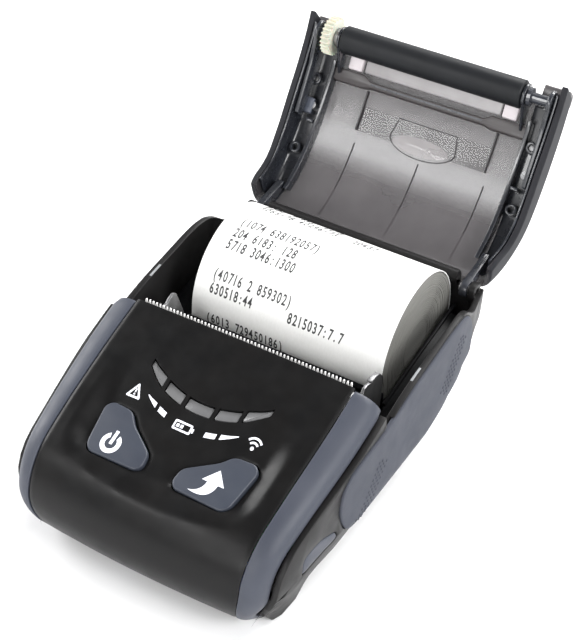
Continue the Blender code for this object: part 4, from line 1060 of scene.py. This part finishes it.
def make_grip(name, side, node):
    """Soft pad with a rounded outer edge."""
    bm = bmesh.new()
    outline = grip_outline()
    levels = [(39.7, 0.0), (40.35, 0.0), (40.6, 0.06), (40.72, 0.22), (40.75, 0.5), (40.75, 1.2)]
    rings = []
    for x, inset in levels:
        ring = grown(outline, -inset) if inset else outline
        rings.append([bm.verts.new(Vector((side * x, y, z)) * MM) for y, z in ring])
    for ring, after in zip(rings, rings[1:]):
        bridge(bm, ring, after)
    bm.faces.new(rings[0])
    bm.faces.new(rings[-1])
    bmesh.ops.recalc_face_normals(bm, faces=bm.faces)
    stations = [-21.0 + 3.0 * i for i in range(23)]
    mesh = scaled_sides(to_mesh(bm), stations)
    grip = place(name, mesh, "slate_rubber", "case", "slate_rubber", (node,), angle=40)
    make_grip_dots(name + "_dots", side)
    return grip


def make_grip_dots(name, side):
    """Two fields of small raised dots, one at each end of the pad."""
    bm = bmesh.new()
    fields = [((27.0, 24.0), (0.62, 0.78), 4, 11), ((-16.5, 14.5), (0.62, 0.78), 4, 11)]
    for start, along, rows, count in fields:
        across = (along[1], -along[0])
        for row in range(rows):
            for i in range(count):
                shift = i + 0.5 * (row % 2)
                y = start[0] + 1.5 * (along[0] * shift + across[0] * row)
                z = start[1] + 1.5 * (along[1] * shift + across[1] * row)
                at = Vector((side * 40.75 * side_scale(y, z), y, z)) * MM
                size = Matrix.Diagonal((0.22, 0.42, 0.42, 1.0))
                bmesh.ops.create_uvsphere(bm, u_segments=10, v_segments=6, radius=MM,
                                          matrix=Matrix.Translation(at) @ size)
    return place(name, to_mesh(bm), "slate_rubber", "case", "slate_rubber")


def make_tear_bar():
    """A dark strip with a row of blunt teeth that stand over the paper slot; the teeth are drawn near-white,
    pale metal with a painted highlight on each.
    """
    low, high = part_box("tear_bar")
    half = high.x / MM
    count = round(2 * half / TOOTH_PITCH)
    pitch = 2 * half / count
    teeth = []
    for i in range(count):
        x = -half + pitch * i
        tooth = [(x + share * pitch, y) for share, y in ((0.1, 0.9), (0.9, 0.9), (0.64, 2.15), (0.36, 2.15))]
        teeth.append(prism([tooth], (0.0, 0.45), "XY"))
    strip = prism([rectangle(-half, half, -0.5, 0.9)], (0.0, 0.42), "XY")
    lean = Matrix.Translation(Vector((0, *TEAR_BAR_FOOT)) * MM) @ Matrix.Rotation(math.radians(70), 4, "X")
    row = joined(teeth)
    for mesh in (strip, row):
        mesh.transform(lean)
    place("tear_bar_strip", strip, "zinc", "case", "steel", ("tear_bar",), modifiers=[rounding(0.06, 2)])
    place("tear_bar_teeth", row, "tooth_metal_painted_highlight", "case", "steel", modifiers=[rounding(0.07, 2, 40)])


def make_ears():
    """The bright flange folded over the right ear of the print frame, and its screw."""
    inner = [(6.6, 36.9), (8.8, 36.9), (11.2, 36.2), (13.0, 34.2), (13.5, 31.8)]
    outer = [(6.6, 37.3), (9.0, 37.3), (11.5, 36.5), (13.4, 34.4), (13.9, 31.8)]
    flange = prism([inner + outer[::-1]], (28.7, 30.1))
    screw = lathe([(28.9, 0.05), (28.9, 0.9), (29.25, 0.9), (29.25, 0.05)], (9.6, 33.6), 24)
    place("paper_ear_flange", joined([flange, screw]), "zinc", "case", "steel",
          modifiers=[rounding(0.12, 2)])


def make_rim_inserts():
    """Pale latch inserts let into the top of both rims."""
    outline = [(10.5, 38.1), (15.5, 39.0), (15.5, 39.85), (10.5, 39.0)]
    for name, side in (("rim_insert_left", -1), ("rim_insert_right", 1)):
        span = sorted((side * 38.6, side * 39.25))
        place(name, prism([rounded(outline, 0.4, 3)], span), "slot_insert", "case", "case_black",
              modifiers=[rounding(0.1, 2)])


def make_case():
    for node, material, slot, width in (("bottom_case", "flank_black", "case_black", 0.25),
                                        ("paper_bay", "inner_black", "inner_black", 0.2),
                                        ("port_cover", "slate_trim", "slate_trim", 0.3),
                                        ("battery_door", "case_black", "inner_black", 0.3),
                                        ("door_tab", "slate_trim", "slate_trim", 0.3),
                                        ("print_frame", "zinc", "steel", 0.12),
                                        ("heat_sink", "aluminium", "aluminium", 0.3),
                                        ("thermal_head", "ceramic", "ceramic", 0.2),
                                        ("paper_guide", "inner_black", "inner_black", 0.2),
                                        ("paper_sensor", "inner_black", "inner_black", 0.2)):
        refine(node, material, slot, width)


# ---------------------------------------------------------------- paper

def make_roll():
    """The wound paper, whose end faces show uneven windings, and the loose outer turn."""
    centre = (ROLL_AT.y, ROLL_AT.z)
    random.seed(7)
    step = (ROLL_OUTSIDE - ROLL_INSIDE) / WINDINGS
    ends = []
    for i in range(WINDINGS):
        out = ROLL_HALF_WIDTH - WINDING_STEP * random.random()
        ends += [(out, ROLL_INSIDE + step * i), (out, ROLL_INSIDE + step * (i + 0.8)),
                 (out - 0.12, ROLL_INSIDE + step * (i + 0.9))]
    ends.append((ROLL_HALF_WIDTH - 0.1, ROLL_OUTSIDE))
    profile = ends + [(-x, r) for x, r in reversed(ends)]
    place("paper_roll_wound", lathe(profile, centre, 120), "paper_windings", "paper", "paper", ("paper_roll",))
    outside = arc(centre, TAIL_OUTSIDE, TAIL_START, TAIL_END, 150)
    inside = arc(centre, TAIL_OUTSIDE - TAIL_THICKNESS, TAIL_END, TAIL_START, 150)
    place("paper_outer_turn", prism([outside + inside], (-ROLL_HALF_WIDTH, ROLL_HALF_WIDTH)), "paper", "paper",
          "paper", ("paper_tail",))
    middle = [(ROLL_HALF_WIDTH - 0.1, 0.05), (ROLL_HALF_WIDTH - 0.04, 3.2), (ROLL_HALF_WIDTH - 0.1, 6.48)]
    place("paper_roll_middle", lathe(middle + [(-x, r) for x, r in reversed(middle)], centre, 96),
          "paper_windings", "paper", "paper", ("paper_core",))


def glyph(character):
    """One printed character as a flat mesh, about one unit high."""
    text = bpy.data.curves.new("glyph", "FONT")
    text.body = character
    text.resolution_u = 3
    text.offset = 0.022
    text.extrude = 0.01
    return drawn_mesh(text)


def make_print():
    """Lines of printed numbers on the outer turn, as a sample slip has."""
    glyphs = {}
    bm = bmesh.new()
    tall = TEXT_HEIGHT / 0.72 * MM
    wide = TEXT_PITCH / 0.62 * MM
    for angle, line in TEXT_LINES:
        for i, character in enumerate(line):
            if character == " ":
                continue
            mesh = glyphs.setdefault(character, glyph(character))
            middle = sum(v.co.x for v in mesh.vertices) / len(mesh.vertices)
            part = mesh.copy()
            left = (TEXT_LEFT + TEXT_PITCH * (i + 0.5)) * MM - middle * wide
            base = -math.radians(angle) * TAIL_OUTSIDE * MM - TEXT_HEIGHT / 2 * MM
            part.transform(Matrix.Translation((left, base, 0)) @ Matrix.Diagonal((wide, tall, MM, 1.0)))
            bm.from_mesh(part)
    bmesh.ops.remove_doubles(bm, verts=bm.verts, dist=1e-8)
    slice_up(bm, 1, TEXT_SLICE, 1e-8)
    triangulate_large(bm)
    for vert in bm.verts:
        turn = -vert.co.y / (TAIL_OUTSIDE * MM)
        radius = TAIL_OUTSIDE + TEXT_LIFT + vert.co.z / MM
        y = ROLL_AT.y + radius * math.cos(turn)
        z = ROLL_AT.z + radius * math.sin(turn)
        vert.co = Vector((vert.co.x / MM, y, z)) * MM
    return place("printed_numbers", to_mesh(bm), "print_ink", "paper", "paper")


# ---------------------------------------------------------------- lid

def lid_section(x_share, top, rim):
    """A point of the lid's outer surface: x_share runs from its left rim, over the top, to its right rim."""
    height = math.dist(top, rim)
    side = 1 if x_share > 0.5 else -1
    share = abs(x_share - 0.5) * 2
    corner = min(LID_CORNER, height * 0.9)
    if share < LID_FLAT_SHARE:
        x, h = (LID_HALF_WIDTH - corner) * share / LID_FLAT_SHARE, height
    elif share < LID_CORNER_SHARE:
        turn = (share - LID_FLAT_SHARE) / (LID_CORNER_SHARE - LID_FLAT_SHARE) * math.pi / 2
        x, h = LID_HALF_WIDTH - corner * (1 - math.sin(turn)), height - corner * (1 - math.cos(turn))
    else:
        x, h = LID_HALF_WIDTH, (height - corner) * (1 - share) / (1 - LID_CORNER_SHARE)
    y = rim[0] + (top[0] - rim[0]) * h / height
    z = rim[1] + (top[1] - rim[1]) * h / height
    return side * x * plan_scale(y), y, z


def lid_under(y, drop):
    """Height of the closed lid's underside at y, drop below its outer surface."""
    return height_on(smooth_line(LID_TOP, 6), y) - drop


def lid_piece(name, mesh, material, slot, replaced=(), **rest):
    """A piece drawn on the closed lid and swung open with it."""
    mesh.transform(OPEN_LID)
    return place(name, mesh, material, "lid", slot, replaced, **rest)


def lid_lines(steps):
    """The lid's top line and the rim line it closes on."""
    return smooth_line(LID_TOP, steps), [(y, z + LID_SEAT) for y, z in smooth_line(RIM, steps)]


def make_lid_shell():
    top, rim = lid_lines(8)

    def point(u, v):
        return lid_section(u, along_line(top, v), along_line(rim, v))

    lid_piece("lid_shell_smoke", grid(100, 60, point), "smoke", "smoke", ("lid_shell",),
              modifiers=[wall(LID_WALL), rounding(0.3, 3, 50)])


def make_channel(name, side):
    """The black channel along one side of the lid, which lines its wall."""
    top, rim = lid_lines(8)

    def point(u, v):
        along = 0.05 + 0.91 * v
        inner = CHANNEL_SHARE + 0.06 * along ** 2
        across = inner + (1.0 - inner) * (u if side > 0 else 1 - u)
        return lid_section(0.5 + side * across / 2, along_line(top, along), along_line(rim, along))

    mesh = grid(24, 60, point)
    normals = [vert.normal.copy() for vert in mesh.vertices]
    for vert, normal in zip(mesh.vertices, normals):
        vert.co -= normal * CHANNEL_INSET * MM
    lid_piece(name, mesh, "channel_black", "inner_black", modifiers=[wall(CHANNEL_WALL), rounding(0.15, 2, 50)])


def on_lid(outlines, drop, thickness):
    """A plate that follows the lid's underside, drop below its outer surface."""
    bm = bmesh.new()
    bm.from_mesh(prism(outlines, (-thickness, 0.0), "XY"))
    slice_up(bm, 1, LID_SLICE)
    for vert in bm.verts:
        vert.co.z += lid_under(vert.co.y / MM, drop) * MM
    return to_mesh(bm)


def make_lid_ribs():
    """Fine ribs down the inside of the lid, and the sides of the pocket behind its crossbar."""
    shapes = [on_lid([rectangle(x - 0.2, x + 0.2, 26.0, 49.5)], LID_WALL - 0.25, 0.33) for x in RIB_XS]
    shapes += [on_lid([rectangle(x - 0.25, x + 0.25, 11.0, 22.4)], LID_WALL, 1.2) for x in POCKET_XS]
    lid_piece("lid_ribs", joined(shapes), "rib_black", "smoke", modifiers=[rounding(0.08, 2)])


def make_pocket():
    """The darker pocket of the finger catch, the arch of its opening and the bright dimple in it."""
    pocket = on_lid([rectangle(POCKET_XS[0], POCKET_XS[1], 15.3, 22.4)], LID_WALL + 0.05, 0.3)
    lid_piece("lid_pocket", pocket, "smoke_deep", "smoke", ("finger_recess",))
    middle, half = 1.6, 10.4
    arch = [(middle - half * math.cos(math.radians(a)), 20.5 + 4.6 * math.sin(math.radians(a)))
            for a in range(0, 181, 9)]
    outline = [(middle + half - 1.2, 15.3), (middle - half + 1.2, 15.3), *arch]
    line = on_lid([outline, grown(outline, -0.28)], LID_WALL + 0.35, 0.2)
    lid_piece("lid_catch_outline", line, "rib_black", "smoke")
    dimple = [(middle - 0.4 + 8.9 * math.cos(math.radians(a)), 21.6 + 2.6 * math.sin(math.radians(a)))
              for a in range(0, 360, 9)]
    lid_piece("lid_catch_dimple", on_lid([dimple], LID_WALL + 0.36, 0.25), "smoke_light", "smoke_light",
              modifiers=[rounding(0.12, 2)])


def make_crossbar():
    """The frame inside the lid: two guide walls, and a crossbar that is thinner in its middle."""
    bar = [(-30.2, 7.4), (-20.5, 7.4), (-18.4, 8.7), (17.4, 8.7), (19.5, 7.4), (30.2, 7.4), (30.2, 11.0),
           (19.5, 11.0), (17.4, 10.5), (-18.4, 10.5), (-20.5, 11.0), (-30.2, 11.0)]
    groove = on_lid([rectangle(-18.0, 17.0, 9.35, 9.75)], 5.2, 0.2)
    lid_piece("lid_crossbar", on_lid([bar], 2.6, 2.6), "frame_brown", "inner_black",
              modifiers=[rounding(0.4, 3)])
    lid_piece("lid_crossbar_line", groove, "channel_black", "inner_black")
    stations = [6.0 + 2.0 * i for i in range(21)]
    upper = [(y, lid_under(y, 2.4)) for y in stations]
    lower = [(y, lid_under(y, GUIDE_DEPTH)) for y in reversed(stations)]
    walls = [prism([upper + lower], sorted((side * GUIDE_X[0], side * GUIDE_X[1]))) for side in (-1, 1)]
    lid_piece("lid_guides", joined(walls), "channel_black", "inner_black", ("lid_frame",),
              modifiers=[rounding(0.2, 3)])


def make_lip():
    """The lip beside the platen, its pale colour a painted highlight, with a square block at each end."""
    strip = on_lid([rectangle(-21.6, 21.2, 2.6, 6.6)], 2.6, 1.0)
    lid_piece("lid_lip", strip, "lip_painted_highlight", "smoke_light", ("paper_lip",), modifiers=[rounding(0.4, 4)])
    blocks = [on_lid([rectangle(left, left + 4.4, 2.8, 6.9)], 2.6, 2.0) for left in (-26.6, 21.9)]
    lid_piece("lid_end_blocks", joined(blocks), "end_block", "smoke_light", modifiers=[rounding(0.5, 4)])


def make_lid_fittings():
    """Corner blocks, bosses, clips and screws in the side channels."""
    corners = [on_lid([rectangle(*sorted((side * 31.4, side * 39.2)), -4.5, -0.8)], 1.4, 4.2)
               for side in (-1, 1)]
    lid_piece("lid_corner_blocks", joined(corners), "block_grey", "smoke", modifiers=[rounding(0.5, 3)])
    bosses = []
    for x, y in ((32.9, 12.4), (-35.4, 12.4), (33.4, 30.0), (-34.4, 33.0)):
        ring = circle((x, y), 1.7, 24)
        bosses.append(on_lid([ring, circle((x, y), 0.9, 20)], 2.6, 2.4))
    bosses += [on_lid([rectangle(*sorted((side * 31.4, side * 33.6)), 24.0, 25.0)], 2.6, 4.0)
               for side in (-1, 1)]
    lid_piece("lid_bosses", joined(bosses), "channel_black", "inner_black", modifiers=[rounding(0.2, 2)])
    lid_piece("lid_clip", on_lid([rectangle(-36.6, -33.4, 18.0, 22.5)], 2.6, 3.0), "clip_blue", "inner_black",
              modifiers=[rounding(0.4, 3)])
    screws = [on_lid([circle((x, y), 0.85, 20)], 3.6, 0.8) for x, y in ((32.9, 12.4), (-35.4, 12.4))]
    lid_piece("lid_boss_screws", joined(screws), "zinc", "steel", modifiers=[rounding(0.15, 2)])


def make_lid():
    make_lid_shell()
    make_channel("lid_channel_left", -1)
    make_channel("lid_channel_right", 1)
    make_lid_ribs()
    make_pocket()
    make_crossbar()
    make_lip()
    make_lid_fittings()
    for node in ("lid_bracket_left", "lid_bracket_right", "hinge_arm_left", "hinge_arm_right"):
        refine(node, "channel_black", "inner_black", 0.25)


def make_platen():
    """Rubber roller with softened ends and its moulded drive gear."""
    centre = (PLATEN_AT.y, PLATEN_AT.z)
    half = 27.8
    rubber = [(half, 1.65), (half, 3.5), (half - 0.12, 3.8), (half - 0.4, 4.0)]
    place("platen_roller", lathe(rubber + [(-x, r) for x, r in reversed(rubber)], centre, 96), "platen_rubber",
          "platen", "platen_rubber", ("platen_rubber",))
    low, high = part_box("platen_gear")
    span = (low.x / MM, high.x / MM)
    place("platen_gear_moulded", gear_shape(centre, span), "ivory", "platen", "ivory", ("platen_gear",),
          angle=30, modifiers=[rounding(0.07, 2, 40)])


def make_platen_holders():
    """The black plates at the platen's ends, which hang from the lid and carry its shaft."""
    y, z = PLATEN
    head = arc(PLATEN, 3.4, 165, 350, 16)
    outline = [*head, (y + 5.5, z + 2.2), (y + 9.0, z + 6.4), (y + 6.0, z + 7.6), (y - 1.6, z + 4.0)]
    plates = [prism([rounded(outline, 0.8, 2), circle(PLATEN, 1.65, 24)], sorted((side * 28.1, side * 28.9)))
              for side in (-1, 1)]
    lid_piece("platen_holders", joined(plates), "channel_black", "inner_black", modifiers=[rounding(0.2, 3)])


def gear_shape(centre, span):
    """A spur gear with rounded trapezoid teeth and a bore."""
    pitch_radius = GEAR_MODULE * GEAR_TEETH / 2
    flank = [(-1.15, 0.36), (-0.6, 0.3), (0.0, 0.23), (0.5, 0.16), (0.85, 0.1)]
    levels = [(pitch_radius + GEAR_MODULE * rise, half) for rise, half in flank]
    outline = []
    for i in range(GEAR_TEETH):
        for radius, offset in [(r, -w) for r, w in levels] + [(r, w) for r, w in reversed(levels)]:
            angle = 2 * math.pi * (i + offset) / GEAR_TEETH
            outline.append((centre[0] + radius * math.cos(angle), centre[1] + radius * math.sin(angle)))
    return prism([outline, circle(centre, 1.6, 28)], span)


# ---------------------------------------------------------------- everything else, and the studio

def dress_nodes():
    """Gives every CAD node that still shows its own material."""
    for name, obj in frame["nodes"].items():
        slot = obj.data.materials[0].name if obj.data.materials else "steel"
        obj.data.materials.clear()
        own = NODE_MATERIALS.get(name, slot)
        obj.data.materials.append(MATERIALS[own if own in MATERIALS else "steel"])


def area_light(name, at, aim, size, power, colour=(1.0, 1.0, 1.0)):
    light = bpy.data.lights.new(name, "AREA")
    light.shape = "RECTANGLE"
    light.size, light.size_y = size
    light.energy = power
    light.color = colour
    obj = bpy.data.objects.new(name, light)
    obj.location = at
    obj.rotation_euler = (Vector(aim) - Vector(at)).to_track_quat("-Z", "Y").to_euler()
    bpy.context.scene.collection.objects.link(obj)


def make_surround():
    """A surround that is white at the horizon and dark overhead, so that flat black tops stay black."""
    world = bpy.data.worlds.new("surround")
    world.use_nodes = True
    tree = world.node_tree
    direction = tree.nodes.new("ShaderNodeTexCoord").outputs["Generated"]
    parts = tree.nodes.new("ShaderNodeSeparateXYZ")
    tree.links.new(direction, parts.inputs["Vector"])
    fade = tree.nodes.new("ShaderNodeMapRange")
    fade.interpolation_type = "SMOOTHSTEP"
    fade.inputs["From Min"].default_value = HORIZON_TOP
    fade.inputs["From Max"].default_value = ZENITH_START
    fade.inputs["To Min"].default_value = HORIZON_STRENGTH
    fade.inputs["To Max"].default_value = ZENITH_STRENGTH
    tree.links.new(parts.outputs["Z"], fade.inputs["Value"])
    tree.links.new(fade.outputs["Result"], tree.nodes["Background"].inputs["Strength"])
    tree.nodes["Background"].inputs["Color"].default_value = (1.0, 1.0, 1.0, 1.0)
    bpy.context.scene.world = world


def make_studio():
    """A pale floor, the surround and soft panels at the back and sides."""
    bm = bmesh.new()
    bmesh.ops.create_grid(bm, x_segments=8, y_segments=8, size=2.5)
    floor = bpy.data.objects.new("floor", to_mesh(bm))
    floor.location.z = CAD_BOX[0].z
    floor.data.materials.append(MATERIALS["studio_floor"])
    bpy.context.scene.collection.objects.link(floor)
    make_surround()
    bpy.context.scene.view_settings.view_transform = "Standard"
    area_light("back_panel", (0.15, 0.75, 0.75), (0, 0, 0.03), (0.9, 0.4), 16.0)
    area_light("top_panel", (0.22, 0.15, 0.85), (0, -0.03, 0.03), (0.15, 0.25), 0.6)
    area_light("band_panel", (-0.36, -0.66, 0.56), (0, 0.08, 0.05), (0.4, 0.12), 2.4)
    area_light("left_panel", (-0.85, 0.0, 0.4), (0, 0, 0.03), (0.5, 0.5), 8.0)
    area_light("right_panel", (0.85, -0.1, 0.6), (0, 0, 0.03), (0.5, 0.5), 9.0)
    area_light("front_panel", (0.1, -0.9, 0.35), (0, 0, 0.03), (0.7, 0.3), 4.0)


def make_camera():
    azimuth, elevation, roll = (math.radians(a) for a in (CAMERA_AZIMUTH, CAMERA_ELEVATION, CAMERA_ROLL))
    back = Vector((math.sin(azimuth) * math.cos(elevation), -math.cos(azimuth) * math.cos(elevation),
                   math.sin(elevation)))
    right = (-back).cross(Vector((0, 0, 1))).normalized()
    up = right.cross(-back)
    rolled_right = right * math.cos(roll) + up * math.sin(roll)
    rolled_up = up * math.cos(roll) - right * math.sin(roll)
    data = bpy.data.cameras.new("camera")
    data.lens = CAMERA_LENS
    data.sensor_width = SENSOR
    data.clip_start = 0.01
    camera = bpy.data.objects.new("camera", data)
    place_matrix = Matrix((rolled_right, rolled_up, back)).transposed().to_4x4()
    place_matrix.translation = (Vector(CAMERA_TARGET) + back * CAMERA_DISTANCE) * MM
    camera.matrix_world = place_matrix
    bpy.context.scene.collection.objects.link(camera)
    bpy.context.scene.camera = camera


def main():
    make_materials()
    dress_nodes()
    cover = make_cover()
    make_trim("trim_left_strip", -1, "trim_left")
    make_trim("trim_right_strip", 1, "trim_right")
    power = make_key("power_key_cap", -1, "power_button", "power_key")
    feed = make_key("feed_key_cap", 1, "feed_button", "feed_key")
    make_windows()
    make_marks(cover, power, feed)
    make_grip("grip_left_pad", -1, "grip_left")
    make_grip("grip_right_pad", 1, "grip_right")
    make_case()
    make_tear_bar()
    make_ears()
    make_rim_inserts()
    make_roll()
    make_print()
    make_lid()
    make_platen()
    make_platen_holders()
    make_studio()
    make_camera()


main()
